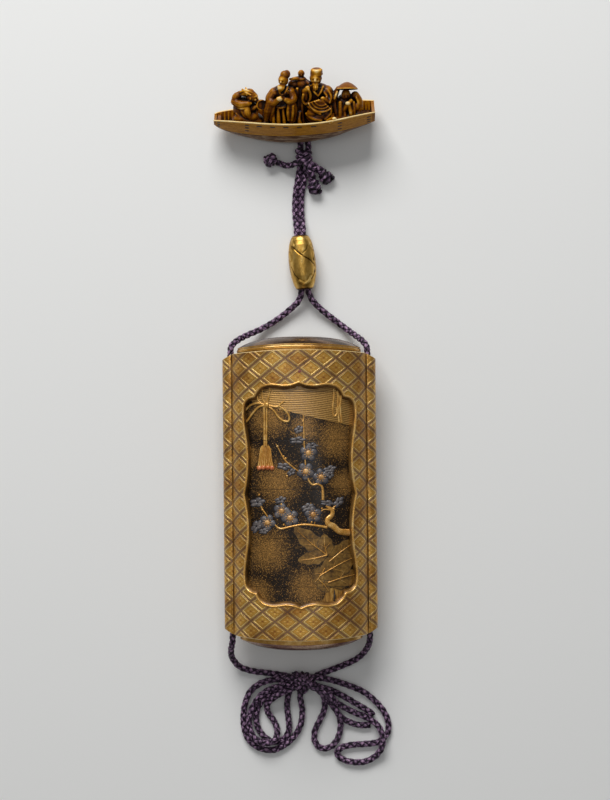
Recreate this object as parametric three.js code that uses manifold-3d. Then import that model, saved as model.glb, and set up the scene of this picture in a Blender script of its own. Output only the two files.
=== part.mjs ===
// Inro case: a sheath with a lobed window, an inner inro of a lid and five cases, a bead (ojime), a boat netsuke
// and a silk cord. Millimetres. The case lies on its back: +Z is up, +Y runs from the case to the netsuke.
// The origin is the middle of the flat on the back of the sheath.
import * as THREE from "three";
import { mergeVertices } from "three/addons/utils/BufferGeometryUtils.js";
import Module from "manifold-3d";

const wasm = await Module();
wasm.setup();
const { Manifold, Mesh } = wasm;

// ---------------------------------------------------------------- driving dimensions
const SHEATH_LENGTH = 91.6;      // along Y, at the middle of the front
const SHEATH_HALF_WIDTH = 22.0;  // of the oval body, without the channels
const SHEATH_HALF_DEPTH = 11.5;
const AXIS_Z = 11.35;            // height of the middle of the case, less than the half depth: a flat on the back
const CHANNEL_X = 21.9;          // axis of a cord channel
const CHANNEL_RADIUS = 2.6;
const BORE_RADIUS = 1.32;
const CAVITY_HALF_WIDTH = 19.9;
const CAVITY_HALF_DEPTH = 10.0;
const CAVITY_POWER = 2.2;        // superellipse power of the inner inro
const FIT = 0.3;                 // gap between pieces that touch

const SEAMS = [32.6, 17.2, 1.8, -13.6, -29.0];  // the joints between lid and cases
const TOP_Y = 50.2;
const BOTTOM_Y = -49.7;
const WALL = 1.1;                // outer wall of a case
const RISER = 0.8;
const RISER_HEIGHT = 3.0;
const FLOOR = 1.2;
const DOME = 2.4;
const CAMBER = 1.3;

const CORD_RADIUS = 1.0;
const BEAD_LENGTH = 17.5;
const BEAD_RADIUS = 4.35;

const SECTION_STEPS = 24;        // corners round a case
const UP = Math.PI / 2;

// ---------------------------------------------------------------- solids and joins
const bare = (geometry) => {
  const g = geometry.clone();
  for (const name of Object.keys(g.attributes)) if (name !== "position") g.deleteAttribute(name);
  return mergeVertices(g, 1e-4);
};

const outward = (positions, index) => {
  let volume = 0;
  const at = (i) => new THREE.Vector3(...positions.subarray(3 * i, 3 * i + 3));
  for (let k = 0; k < index.length; k += 3) volume += at(index[k]).dot(at(index[k + 1]).cross(at(index[k + 2])));
  if (volume < 0) for (let k = 0; k < index.length; k += 3) [index[k], index[k + 1]] = [index[k + 1], index[k]];
  return index;
};

const solid = (geometry) => {
  const g = bare(geometry);
  const vertProperties = new Float32Array(g.attributes.position.array);
  const triVerts = outward(vertProperties, new Uint32Array(g.index.array));
  return new Manifold(new Mesh({ numProp: 3, vertProperties, triVerts }));
};

const geometryOf = (body) => {
  const mesh = body.getMesh();
  const g = new THREE.BufferGeometry();
  g.setAttribute("position", new THREE.BufferAttribute(new Float32Array(mesh.vertProperties), 3));
  g.setIndex(new THREE.BufferAttribute(new Uint32Array(mesh.triVerts), 1));
  g.computeVertexNormals();
  return g;
};

const join = (bodies) => {
  const whole = Manifold.union(bodies);
  const outer = whole.decompose().filter((part) => part.volume() > 0);
  return outer.reduce((a, b) => (a.volume() > b.volume() ? a : b));
};

const placed = (geometry, position = [0, 0, 0], rotation = [0, 0, 0], scale = [1, 1, 1]) => {
  const m = new THREE.Matrix4().compose(
    new THREE.Vector3(...position),
    new THREE.Quaternion().setFromEuler(new THREE.Euler(...rotation)),
    new THREE.Vector3(...scale));
  return geometry.clone().applyMatrix4(m);
};

// a closed body through rings of equal count, each ring an array of [x, y, z]
const ringBody = (rings) => {
  const n = rings[0].length;
  const points = rings.flat();
  const index = [];
  for (let r = 0; r + 1 < rings.length; r++) {
    for (let i = 0; i < n; i++) {
      const a = r * n + i, b = r * n + (i + 1) % n;
      index.push(a, b, b + n, a, b + n, a + n);
    }
  }
  const cap = (start, flip) => {
    const ring = points.slice(start, start + n);
    const middle = ring.reduce((s, p) => s.map((v, k) => v + p[k] / n), [0, 0, 0]);
    points.push(middle);
    const m = points.length - 1;
    for (let i = 0; i < n; i++) {
      const a = start + i, b = start + (i + 1) % n;
      index.push(...(flip ? [m, b, a] : [m, a, b]));
    }
  };
  cap(0, true);
  cap((rings.length - 1) * n, false);
  const g = new THREE.BufferGeometry();
  g.setAttribute("position", new THREE.Float32BufferAttribute(points.flat(), 3));
  g.setIndex(index);
  return g;
};

const prism = (outline, depth) => {
  const shape = new THREE.Shape(outline.map(([x, y]) => new THREE.Vector2(x, y)));
  return new THREE.ExtrudeGeometry(shape, { depth, bevelEnabled: false });
};

// ---------------------------------------------------------------- sheath
const ovalTop = (x) => SHEATH_HALF_DEPTH * Math.sqrt(Math.max(0, 1 - (x / SHEATH_HALF_WIDTH) ** 2));

// half of the outer section, from the middle of the front round the channel to the middle of the back
const sheathOutline = () => {
  const meet = CHANNEL_X - 0.45;
  const front = [0, 4, 8, 12, 15, 17.5, 19.5, 20.8].map((x) => [x, ovalTop(x)]);
  const groove = [[meet - 0.2, ovalTop(meet - 0.2)], [meet, ovalTop(meet) - 0.45]];
  const channel = [];
  for (let k = 0; k <= 6; k++) {
    const a = THREE.MathUtils.degToRad(94 - k * 94 / 6);
    channel.push([CHANNEL_X + CHANNEL_RADIUS * Math.cos(a), CHANNEL_RADIUS * Math.sin(a)]);
  }
  const quarter = [...front, ...groove, ...channel];
  const right = [...quarter, ...quarter.slice(0, -1).reverse().map(([x, z]) => [x, -z])];
  const left = right.slice(1, -1).reverse().map(([x, z]) => [-x, z]);
  return [...right, ...left];
};

// how far the ends of the sheath fall back from the middle
const endFall = (x) => {
  const a = Math.abs(x);
  return (a / 21) ** 2 + 0.33 * Math.max(0, a - 21) ** 1.15;
};

const WINDOW_TOP = [[0, 35.6], [2.2, 34.8], [4.6, 34.5], [8.9, 34.9], [11.8, 34.2], [13.4, 32.7], [14.2, 31.2]];
const WINDOW_SIDE = [[14.2, 31.2], [16.2, 30.5], [17.4, 29.0], [17.85, 26.4], [17.6, 22.0], [16.8, 16.3],
  [16.5, 10.9], [16.9, 5.0], [17.8, 0]];

const windowOutline = () => {
  const run = (points, steps) => {
    const curve = new THREE.CatmullRomCurve3(points.map(([x, y]) => new THREE.Vector3(x, y, 0)), false, "centripetal");
    return curve.getPoints(steps).map((p) => [p.x, p.y]);
  };
  const quarter = [...run(WINDOW_TOP, 9), ...run(WINDOW_SIDE, 11).slice(1)];
  const right = [...quarter, ...quarter.slice(0, -1).reverse().map(([x, y]) => [x, -y])];
  return [...right, ...right.slice(1, -1).reverse().map(([x, y]) => [-x, y])];
};

const section = (inset, steps = SECTION_STEPS) => {
  const a = CAVITY_HALF_WIDTH - inset, b = CAVITY_HALF_DEPTH - inset, e = 2 / CAVITY_POWER;
  return Array.from({ length: steps }, (_, i) => {
    const t = (i / steps) * 2 * Math.PI;
    const c = Math.cos(t), s = Math.sin(t);
    return [a * Math.sign(c) * Math.abs(c) ** e, b * Math.sign(s) * Math.abs(s) ** e];
  });
};

// a straight tube body along Y between two heights, or heights given by a function of x
const column = (outline, low, high) => {
  const y = (h, x) => (typeof h === "function" ? h(x) : h);
  const ring = (h) => outline.map(([x, z]) => [x, y(h, x), z + AXIS_Z]);
  return ringBody([ring(low), ring(high)]);
};

const makeSheath = () => {
  const half = SHEATH_LENGTH / 2;
  const body = solid(column(sheathOutline(), (x) => endFall(x) - half, (x) => half - endFall(x)));
  const cavity = solid(column(section(0), -60, 60));
  const bores = [-1, 1].map((side) => solid(placed(
    new THREE.CylinderGeometry(BORE_RADIUS, BORE_RADIUS, 120, 12), [side * CHANNEL_X, 0, AXIS_Z])));
  const window = solid(placed(prism(windowOutline(), 20), [0, 0, AXIS_Z]));
  const under = solid(placed(new THREE.BoxGeometry(80, 120, 10), [0, 0, -5]));
  return body.subtract(Manifold.union([cavity, window, under, ...bores]));
};

// ---------------------------------------------------------------- inner inro
// rings from the edge of a dome to its crown; toward is +1 for the lid and -1 for the bottom
const domeRings = (crown, toward) => [1, 0.985, 0.93, 0.8, 0.55, 0.25].map((q) => section(FIT).map(([x, z]) => {
  const fall = CAMBER * (x * q / CAVITY_HALF_WIDTH) ** 2 + DOME * q ** 4;
  return [x * q, crown - toward * fall, z * q + AXIS_Z];
}));

const ringAt = (inset, y) => section(inset).map(([x, z]) => [x, y, z + AXIS_Z]);

const makeLid = () => {
  const outer = solid(ringBody([ringAt(FIT, SEAMS[0] + FIT / 2), ...domeRings(TOP_Y, 1)]));
  const inner = solid(ringBody([ringAt(FIT + WALL, SEAMS[0] - 1), ringAt(FIT + WALL, TOP_Y - 6.4),
    ringAt(FIT + WALL + 1.6, TOP_Y - 4.6)]));
  return outer.subtract(inner);
};

const makeCase = (low, high, floor) => {
  const wall = solid(column(section(FIT), low + FIT / 2, high - FIT / 2));
  const riser = solid(column(section(FIT + WALL + FIT), floor + 0.2, high + RISER_HEIGHT));
  const inside = solid(column(section(FIT + WALL + FIT + RISER), floor + FLOOR, high + 10));
  const skirt = solid(column(section(FIT + WALL), low - 1, floor));
  return wall.add(riser).subtract(inside).subtract(skirt);
};

const makeBottomCase = (high) => {
  const floor = BOTTOM_Y + DOME + 1.2 * FLOOR;
  const outer = solid(ringBody([ringAt(FIT, high - FIT / 2), ...domeRings(BOTTOM_Y, -1)]));
  const riser = solid(column(section(FIT + WALL + FIT), floor, high + RISER_HEIGHT));
  const inside = solid(column(section(FIT + WALL + FIT + RISER), floor, high + 10));
  return outer.add(riser).subtract(inside);
};

// ---------------------------------------------------------------- bead
const BEAD_LOW = [2.1, 65.7], BEAD_HIGH = [0.7, 83.2];
const BEAD_Z = BEAD_RADIUS - 0.1;

const makeBead = () => {
  const h = BEAD_LENGTH / 2, bore = 2 * CORD_RADIUS + FIT * 1.5;
  const profile = [[bore, -h], [2.95, -h], [3.55, -h + 1.2], [4.05, -h + 3.6], [BEAD_RADIUS, 0.6],
    [4.1, h - 3.9], [3.5, h - 1.4], [2.95, h], [bore, h], [bore, -h]];
  const lathe = new THREE.LatheGeometry(profile.map(([r, y]) => new THREE.Vector2(r, -y)).reverse(), 18);
  const tilt = Math.atan2(BEAD_LOW[0] - BEAD_HIGH[0], BEAD_HIGH[1] - BEAD_LOW[1]);
  const middle = [(BEAD_LOW[0] + BEAD_HIGH[0]) / 2, (BEAD_LOW[1] + BEAD_HIGH[1]) / 2, BEAD_Z];
  const body = solid(placed(lathe, middle, [0, 0, tilt]));
  const under = solid(placed(new THREE.BoxGeometry(40, 40, 10), [middle[0], middle[1], -5]));
  return body.subtract(under);
};

// ---------------------------------------------------------------- cord
const CORD_SIDES = 6;
const disc = (radius) => new THREE.Shape(Array.from({ length: CORD_SIDES }, (_, i) => {
  const turn = (i + 0.5) * 2 * Math.PI / CORD_SIDES;
  return new THREE.Vector2(radius * Math.cos(turn), radius * Math.sin(turn));
}));

const cord = (points, spacing = 4.6, radius = CORD_RADIUS) => {
  const curve = new THREE.CatmullRomCurve3(points.map((p) => new THREE.Vector3(...p)), false, "centripetal");
  const steps = Math.max(3, Math.round(curve.getLength() / spacing));
  return solid(new THREE.ExtrudeGeometry(disc(radius), { steps, extrudePath: curve, bevelEnabled: false }));
};

const pairPath = (side) => {
  const d = (CORD_RADIUS + FIT / 2) * side;
  const pair = [[2.0, 106.4, 1.9], [1.7, 104.4, 1.6], [1.2, 101.6, 1.2], [0.6, 98.4, 1.1], [0.2, 94.0, 1.1],
    [0.3, 89.6, 1.3], [0.6, 86.4, 2.6], [0.75, 83.2, 3.9], [1.1, 79.0, 4.25], [1.75, 70.0, 4.25], [2.1, 65.9, 3.9]];
  return pair.map(([x, y, z]) => [x + d, y, z]);
};

const LEFT_PATH = [...pairPath(-1), [0.2, 62.4, 2.8], [-2.7, 59.4, 2.0], [-7.8, 55.6, 1.6], [-12.6, 52.9, 2.2],
  [-16.8, 51.0, 4.6], [-19.8, 49.2, 8.4], [-21.6, 47.2, 10.8], [-21.9, 44.0, 11.35], [-21.9, 20, 11.35],
  [-21.9, 0, 11.35], [-21.9, -20, 11.35], [-21.9, -44.0, 11.35], [-22.1, -47.4, 10.7], [-22.7, -50.4, 7.6],
  [-22.4, -53.6, 4.0], [-20.2, -56.6, 2.0], [-16.0, -58.2, 1.3], [-11.6, -58.8, 1.2], [-7.4, -59.4, 1.4],
  [-3.4, -60.0, 2.0]];
const RIGHT_PATH = [...pairPath(1), [4.6, 62.2, 2.8], [8.2, 58.6, 2.0], [12.0, 55.6, 1.6], [15.6, 52.8, 2.2],
  [18.6, 50.4, 5.4], [20.6, 48.6, 9.0], [21.7, 46.8, 10.9], [21.9, 44.0, 11.35], [21.9, 20, 11.35],
  [21.9, 0, 11.35], [21.9, -20, 11.35], [21.9, -44.0, 11.35], [21.9, -47.2, 10.6], [20.9, -50.6, 6.9],
  [18.2, -54.0, 3.2], [14.2, -56.2, 1.7], [10.2, -57.8, 1.3], [6.6, -59.0, 1.6]];

const BOW_LOOPS = [
  // outer left loop
  [[1.0, -60.6, 2.2], [-3.9, -60.6, 2.9], [-9.4, -60.9, 2.6], [-13.5, -62.2, 1.4], [-16.8, -64.8, 1.1],
    [-18.4, -68.2, 1.05], [-19.1, -72, 1.05], [-19.0, -76.2, 1.05], [-17.6, -80.4, 1.05], [-14.2, -83.2, 1.05],
    [-9.6, -84.0, 1.05], [-5.6, -82.2, 1.05], [-2.2, -79.0, 1.05], [-0.4, -75.2, 1.05], [0.0, -70.8, 1.05],
    [-0.6, -67.0, 1.3], [-0.4, -63.6, 2.2]],
  // second left loop
  [[0.4, -62.4, 3.0], [-3.3, -63.6, 1.8], [-4.6, -66.8, 1.1], [-4.9, -70.2, 1.05], [-4.5, -73.8, 1.05],
    [-4.4, -77.6, 1.05], [-6.0, -80.4, 1.05], [-9.2, -81.4, 1.05], [-12.2, -79.8, 1.05], [-14.4, -76.8, 1.05],
    [-15.0, -73.2, 1.05], [-14.0, -69.2, 1.2], [-10.4, -65.6, 2.0], [-5.8, -63.2, 2.9], [-0.6, -61.6, 3.2]],
  // inner left loop, over the others
  [[0.2, -60.4, 3.6], [-4.0, -61.8, 4.1], [-8.0, -63.0, 3.9], [-12.0, -64.8, 2.8], [-15.2, -68.2, 2.3],
    [-16.9, -72.0, 2.2], [-17.2, -76.0, 2.4], [-15.6, -79.6, 3.0], [-12.2, -81.4, 3.2], [-9.0, -80.4, 3.0],
    [-8.2, -77.6, 1.6], [-9.2, -74.6, 1.1], [-11.2, -71.6, 1.2], [-11.2, -68.6, 2.6], [-8.4, -66.0, 4.0],
    [-4.4, -63.8, 4.6], [0.4, -62.6, 4.2]],
  // long right loop with its turned end
  [[1.2, -60.0, 3.6], [5.2, -60.2, 3.4], [10.2, -61.4, 2.0], [15.2, -63.2, 1.2], [19.8, -65.2, 1.05],
    [23.6, -68.2, 1.05], [26.6, -71.8, 1.05], [28.0, -75.4, 1.05], [27.6, -79.0, 1.05], [24.8, -81.6, 1.05],
    [20.4, -82.3, 1.05], [15.9, -82.6, 1.05], [12.4, -83.6, 1.05], [11.2, -85.4, 1.05], [13.0, -87.2, 1.05],
    [16.6, -88.2, 1.05], [20.4, -88.0, 1.05], [23.8, -86.2, 1.3], [25.8, -83.0, 2.7], [26.0, -79.4, 3.1],
    [24.6, -76.2, 2.4], [21.2, -73.8, 1.2], [16.9, -72.0, 1.05], [12.9, -69.8, 1.3], [9.2, -67.2, 2.6],
    [5.6, -64.4, 3.6], [1.8, -62.4, 4.0]],
  // short right loop
  [[2.0, -61.2, 2.2], [5.6, -64.0, 1.5], [7.2, -67.4, 1.1], [7.2, -71.0, 1.05], [5.7, -74.4, 1.05],
    [4.1, -77.8, 1.05], [4.0, -81.2, 1.05], [5.8, -83.4, 1.05], [8.6, -83.4, 1.05], [10.9, -81.4, 1.05],
    [12.2, -78.2, 1.05], [12.4, -75.0, 1.05], [11.6, -72.2, 1.05], [9.8, -69.6, 1.05], [7.6, -66.6, 2.8],
    [4.4, -63.4, 3.2]],
  // two tails
  [[2.4, -61.8, 5.4], [6.1, -63.2, 4.4], [9.4, -64.4, 2.8], [13.0, -66.4, 1.4], [17.0, -68.8, 1.1],
    [21.0, -71.2, 1.1], [23.4, -72.9, 1.3]],
  [[9.6, -66.4, 4.4], [10.9, -70.6, 3.3], [12.6, -73.2, 2.6], [15.2, -75.0, 1.3], [18.4, -76.1, 1.05],
    [22.2, -76.2, 1.05]],
];

const KNOT_LOOPS = [
  // two strands out of the netsuke into the knot
  [[1.3, 115.6, 5.0], [1.2, 113.0, 4.5], [1.1, 110.8, 4.0], [1.3, 108.6, 3.4], [1.9, 106.6, 2.6]],
  [[3.4, 115.6, 4.8], [3.6, 113.0, 4.2], [3.6, 110.8, 3.6], [3.5, 108.6, 2.8], [2.6, 106.8, 2.0]],
  // three cut ends
  [[1.6, 107.8, 3.6], [-0.6, 106.7, 3.4], [-2.8, 106.1, 2.4], [-5.0, 106.7, 1.5], [-6.8, 107.6, 1.3]],
  [[2.6, 107.8, 4.0], [4.4, 106.2, 4.2], [6.2, 105.1, 3.2], [8.2, 103.8, 2.2], [9.4, 102.2, 1.6]],
  [[2.8, 107.8, 4.2], [3.7, 105.4, 4.4], [4.5, 103.2, 3.6], [4.9, 101.2, 2.4], [5.7, 98.9, 1.5]],
];

const KNOT_HEAD = [[2.1, 108.9, 3.3], [2.6, 3.0, 2.6]];
const END_KNOTS = [[[-8.7, 108.0, 2.2], [2.2, 2.1, 2.2]], [[9.5, 102.2, 1.9], [1.7, 1.7, 1.8]],
  [[5.6, 98.9, 1.9], [1.6, 1.7, 1.8]]];

const lump = (position, size, grow = 0) => solid(placed(
  new THREE.SphereGeometry(1, 8, 5), position, [0, 0, 0], size.map((v) => v + grow)));

const cutLevel = (body, low = 0.02) => {
  const under = solid(placed(new THREE.BoxGeometry(400, 400, 10), [0, 0, low - 5]));
  return body.subtract(under);
};

// room for the running cords where they enter a knot
const room = () => [LEFT_PATH, RIGHT_PATH].map((points) => cord(points, 4.6, CORD_RADIUS + FIT));

const biggest = (body) => body.decompose().reduce((a, b) => (a.volume() > b.volume() ? a : b));

const makeBow = () => join([
  ...BOW_LOOPS.map((points) => cord(points, 6.0)),
  lump([0.9, -61.0, 2.9], [3.0, 2.3, 2.6]),
  lump([2.2, -64.2, 2.6], [2.2, 2.2, 2.7]),
]);

const makeKnot = () => join([
  ...KNOT_LOOPS.map((points) => cord(points, 3.8)),
  lump(...KNOT_HEAD),
  ...END_KNOTS.map((at) => lump(...at)),
]);

// ---------------------------------------------------------------- netsuke
const BOAT_TILT = THREE.MathUtils.degToRad(30);   // the boat lies over on its far side
const BOAT_PLACE = [-0.9, 120.8, 7.19];           // middle of the boat, on the gunwale's datum
// x, half beam, height of the gunwale, depth of the strake, depth of the bilge under it
const STATIONS = [
  [-25.6, 3.0, 0.55, 1.6, 0.6], [-24.7, 3.7, 0.75, 2.5, 0.7], [-20.8, 5.1, 1.05, 4.1, 1.25],
  [-15.0, 6.4, 1.07, 4.8, 2.4], [-8.0, 7.6, 0.95, 4.9, 3.6], [0.0, 8.4, 1.0, 4.7, 4.25],
  [7.0, 8.6, 1.45, 4.5, 4.2], [13.0, 8.3, 2.25, 4.85, 3.3], [19.0, 7.3, 3.2, 4.85, 1.85],
  [24.0, 5.9, 3.65, 4.15, 1.1], [25.9, 5.3, 3.75, 3.65, 0.7]];
const FLARE = Math.tan(BOAT_TILT);

// rings of a hull: [x, n, u] with n across and u up; deck cuts the top, shrink makes the inside
const hullRing = ([x, beam, sheer, strake, bilge], shrink = 0, deck = null) => {
  const low = sheer - strake, chine = beam - strake * FLARE;
  const half = deck === null
    ? [[beam - shrink, sheer], [beam - shrink - 0.02, sheer - 0.5], [chine - shrink, low],
      [chine * 0.86, low - bilge * 0.52], [chine * 0.55, low - bilge * 0.85], [chine * 0.2, low - bilge]]
    : [[beam - shrink, sheer + 6], [beam - shrink, sheer],
      [beam - shrink - (sheer - deck) * FLARE, Math.max(deck, low + 0.4)]];
  return [...half, ...[...half].reverse().map(([n, u]) => [-n, u])].map(([n, u]) => [x, n, u]);
};

const hull = () => {
  const outer = solid(ringBody(STATIONS.map((s) => hullRing(s))));
  const inner = solid(ringBody(STATIONS.slice(1, -1).map((s) => hullRing(s, 0.75, s[2] - 2.6))));
  return outer.subtract(inner);
};

const ball = (x, n, u, rx, rn = rx, ru = rx, turn = [0, 0, 0], detail = [7, 5]) => solid(placed(
  new THREE.SphereGeometry(1, ...detail), [x, n, u], turn, [rx, rn, ru]));

const limb = (from, to, r0, r1 = r0) => {
  const a = new THREE.Vector3(...from);
  const axis = new THREE.Vector3(...to).sub(a);
  const long = axis.length();
  const profile = [[0, -r0], [r0 * 0.75, -r0 * 0.66], [r0, 0], [r1, long], [r1 * 0.75, long + r1 * 0.66], [0, long + r1]];
  const g = new THREE.LatheGeometry(profile.map(([r, y]) => new THREE.Vector2(r, y)), 6);
  const turn = new THREE.Quaternion().setFromUnitVectors(new THREE.Vector3(0, 1, 0), axis.normalize());
  return solid(g.applyMatrix4(new THREE.Matrix4().compose(a, turn, new THREE.Vector3(1, 1, 1))));
};

// a robe: a turned body, wider at the hem, flattened across
const robe = (x, n, u, height, hem, shoulder, flat = 0.7, lean = 0) => {
  const profile = [[0, 0], [hem, 0], [hem * 0.93, height * 0.25], [shoulder * 1.02, height * 0.62],
    [shoulder, height * 0.86], [shoulder * 0.55, height], [0, height]];
  const g = new THREE.LatheGeometry(profile.map(([r, y]) => new THREE.Vector2(r, y)), 9);
  return solid(placed(placed(g, [0, 0, 0], [0, 0, 0], [1, 1, flat]), [x, n, u], [UP, lean, 0]));
};

// an open folding fan: a flat sector, pointing down
const fan = (radius, spread, thickness) => {
  const rim = Array.from({ length: 8 }, (_, k) => -UP + spread * (k / 7 - 0.5));
  return prism([[0, 0], ...rim.map((a) => [radius * Math.cos(a), radius * Math.sin(a)])], thickness);
};

const figures = () => {
  const parts = [];
  // leaning man at the bow, with a knotted cap, folded arms and a small drum
  parts.push(ball(-15.5, 0.2, 3.4, 4.1, 3.2, 4.2), ball(-14.5, 0.6, -0.2, 5.0, 3.6, 2.5));
  parts.push(ball(-13.5, 1.4, 8.0, 2.1, 1.9, 2.0), ball(-15.0, 1.0, 9.4, 2.3, 1.6, 1.1, [0, 0.3, 0]));
  parts.push(limb([-18.5, 1.4, 6.3], [-14.6, 3.2, 6.0], 1.3, 1.1), limb([-14.9, 3.0, 5.0], [-14.6, 3.0, 2.0], 1.3));
  parts.push(limb([-18.6, 0.9, 6.4], [-17.2, 0.7, 8.3], 1.2, 1.0));
  parts.push(solid(placed(new THREE.CylinderGeometry(1.75, 1.75, 1.7, 10), [-10.5, 1.8, 5.3], [0.35, 0, 0.5])));
  parts.push(limb([-11.4, 1.6, -1.0], [-10.9, 1.7, 4.2], 0.9));
  // standing old man with an open tray
  parts.push(robe(-4.3, 0.2, -3.0, 14.6, 4.5, 3.5, 0.72, 0.05));
  parts.push(ball(-3.2, 1.2, 13.4, 1.75, 1.7, 2.25, [0, 0.35, 0]), ball(-2.6, 0.9, 15.2, 1.5, 1.4, 1.3));
  parts.push(solid(placed(new THREE.ConeGeometry(1.3, 3.2, 8), [-3.8, 2.4, 11.6], [-UP, 0, 0])));
  parts.push(limb([-6.6, 0.8, 9.4], [-7.2, 2.8, 5.9], 1.6, 1.8), limb([-1.0, 0.8, 9.2], [-1.2, 2.9, 6.9], 1.6, 1.9));
  parts.push(limb([-7.8, 2.0, 5.2], [-8.4, 2.2, 1.0], 1.7, 1.3), limb([-0.9, 2.6, 6.0], [-0.9, 2.8, 1.2], 1.5, 1.9));
  parts.push(solid(placed(new THREE.BoxGeometry(3.4, 2.2, 1.3), [-2.7, 3.0, 9.8], [0, -0.5, 0])));
  parts.push(ball(-4.4, 3.4, 8.2, 1.15, 1.2, 0.8));
  // small figure behind, on a rough post, one arm out
  parts.push(solid(placed(new THREE.CylinderGeometry(1.7, 2.3, 13.0, 9), [2.1, -0.6, 4.0], [UP, 0, 0])));
  parts.push(ball(2.9, -1.0, 10.9, 2.2, 1.8, 2.6), ball(2.5, -1.0, 14.8, 1.35, 1.3, 1.45));
  parts.push(limb([2.0, -0.9, 13.3], [-0.8, -0.2, 13.1], 0.75, 0.6), ball(2.6, -0.9, 12.8, 1.5, 1.2, 1.6));
  // large man with a flat cap, robe and open fan
  parts.push(robe(7.8, -0.4, -3.0, 15.2, 4.8, 3.8, 0.74, -0.03));
  parts.push(ball(7.1, 0.9, 13.9, 2.15, 2.0, 2.5), ball(7.4, 0.6, 16.0, 2.0, 1.9, 1.3));
  parts.push(solid(placed(new THREE.ConeGeometry(1.4, 2.6, 8), [7.0, 2.2, 11.9], [-UP, 0, 0])));
  parts.push(limb([5.2, 0.4, 10.3], [4.5, 2.5, 10.6], 1.3, 0.95), limb([10.7, 0.4, 9.4], [9.5, 3.3, 7.8], 1.7, 1.2));
  parts.push(limb([4.0, 2.2, 9.8], [4.0, 2.6, 6.4], 1.0, 1.1));
  parts.push(solid(placed(fan(4.4, 1.95, 0.9), [8.85, 4.6, 8.3], [UP, 0, -0.26])));
  parts.push(ball(8.0, 2.0, 1.6, 4.0, 3.0, 2.8));
  // crouching man with a broad hat
  parts.push(ball(16.9, 0.4, 3.8, 3.9, 3.1, 4.8), ball(16.6, 1.4, 0.6, 4.8, 3.4, 2.6));
  parts.push(ball(16.7, 1.8, 8.6, 1.7, 1.6, 1.9));
  parts.push(solid(placed(new THREE.ConeGeometry(3.4, 2.0, 12), [17.0, 0.9, 10.9], [UP + 0.3, 0.12, 0])));
  parts.push(limb([13.9, 0.8, 9.3], [12.9, 1.4, 6.4], 1.0, 1.2), limb([12.9, 1.4, 6.4], [13.8, 1.6, 1.6], 1.2, 1.4));
  parts.push(limb([20.1, 1.4, 7.5], [20.9, 2.4, 4.3], 1.25, 1.4), limb([16.2, 3.2, 4.4], [18.0, 3.4, 6.4], 0.9, 0.9));
  // a small bundle over the gunwale
  parts.push(limb([11.0, 6.8, 1.4], [12.8, 7.4, 2.5], 0.8, 0.75));
  return parts;
};

const makeNetsuke = () => {
  const thwarts = [
    [[-24.0, 0, 0.0], [1.0, 6.0, 1.2]], [[12.0, 0, 0.8], [1.0, 13.4, 2.6]], [[24.6, 0, 2.2], [1.0, 8.6, 2.6]]]
    .map(([at, size]) => solid(placed(new THREE.BoxGeometry(...size), at)));
  const whole = join([hull(), ...thwarts, ...figures()]);
  const boat = geometryOf(whole);
  // local x, n, u to the lying pose
  const c = Math.cos(BOAT_TILT), s = Math.sin(BOAT_TILT);
  const pose = new THREE.Matrix4().set(1, 0, 0, BOAT_PLACE[0], 0, -s, c, BOAT_PLACE[1], 0, c, s, BOAT_PLACE[2],
    0, 0, 0, 1);
  // the cord holes in the bottom are cut with room for the cord
  const holes = KNOT_LOOPS.slice(0, 2).map((points) => cord(points, 2.6, CORD_RADIUS + FIT));
  const body = solid(boat.applyMatrix4(pose)).subtract(Manifold.union(holes)).subtract(lump(...KNOT_HEAD, FIT));
  return cutLevel(body, 0);
};

// ---------------------------------------------------------------- the object
const group = new THREE.Group();
group.name = "inro_case";

const add = (name, body, color, roughness, metalness) => {
  const geometry = body instanceof THREE.BufferGeometry ? body : geometryOf(body);
  geometry.computeVertexNormals();
  const mesh = new THREE.Mesh(geometry, new THREE.MeshStandardMaterial({ color, roughness, metalness }));
  mesh.name = name;
  group.add(mesh);
};

add("sheath", makeSheath(), 0xb08a3e, 0.35, 0.6);
add("lid", makeLid(), 0xa8823a, 0.3, 0.5);
SEAMS.slice(1).forEach((low, i) => {
  const high = SEAMS[i];
  add(`case_${i + 1}`, makeCase(low, high, low + RISER_HEIGHT + 0.5), 0x2c211c, 0.3, 0.1);
});
add("case_5", makeBottomCase(SEAMS[4]), 0x2a1c18, 0.3, 0.1);
add("ojime", makeBead(), 0xb98d2f, 0.3, 0.8);
const knot = cutLevel(makeKnot());
const [leftRoom, rightRoom] = room();
add("netsuke", makeNetsuke(), 0xb9812f, 0.45, 0);
add("cord_left", cord(LEFT_PATH), 0x47293f, 0.85, 0);
add("cord_right", cord(RIGHT_PATH), 0x47293f, 0.85, 0);
add("cord_knot", biggest(knot.subtract(leftRoom).subtract(rightRoom)), 0x47293f, 0.85, 0);
add("cord_bow", biggest(cutLevel(makeBow()).subtract(leftRoom).subtract(rightRoom)), 0x47293f, 0.85, 0);

export default group;
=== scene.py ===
"""Inro case: a gold lacquer sheath with a lobed window over a black lacquer inro, a gilt bead, a boat netsuke
and a braided silk cord. Lengths are modelled in millimetres and brought to metres when a piece is
finished."""

import math
import random

import bpy
import numpy as np
from mathutils import Matrix, Vector
from mathutils.bvhtree import BVHTree


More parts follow.
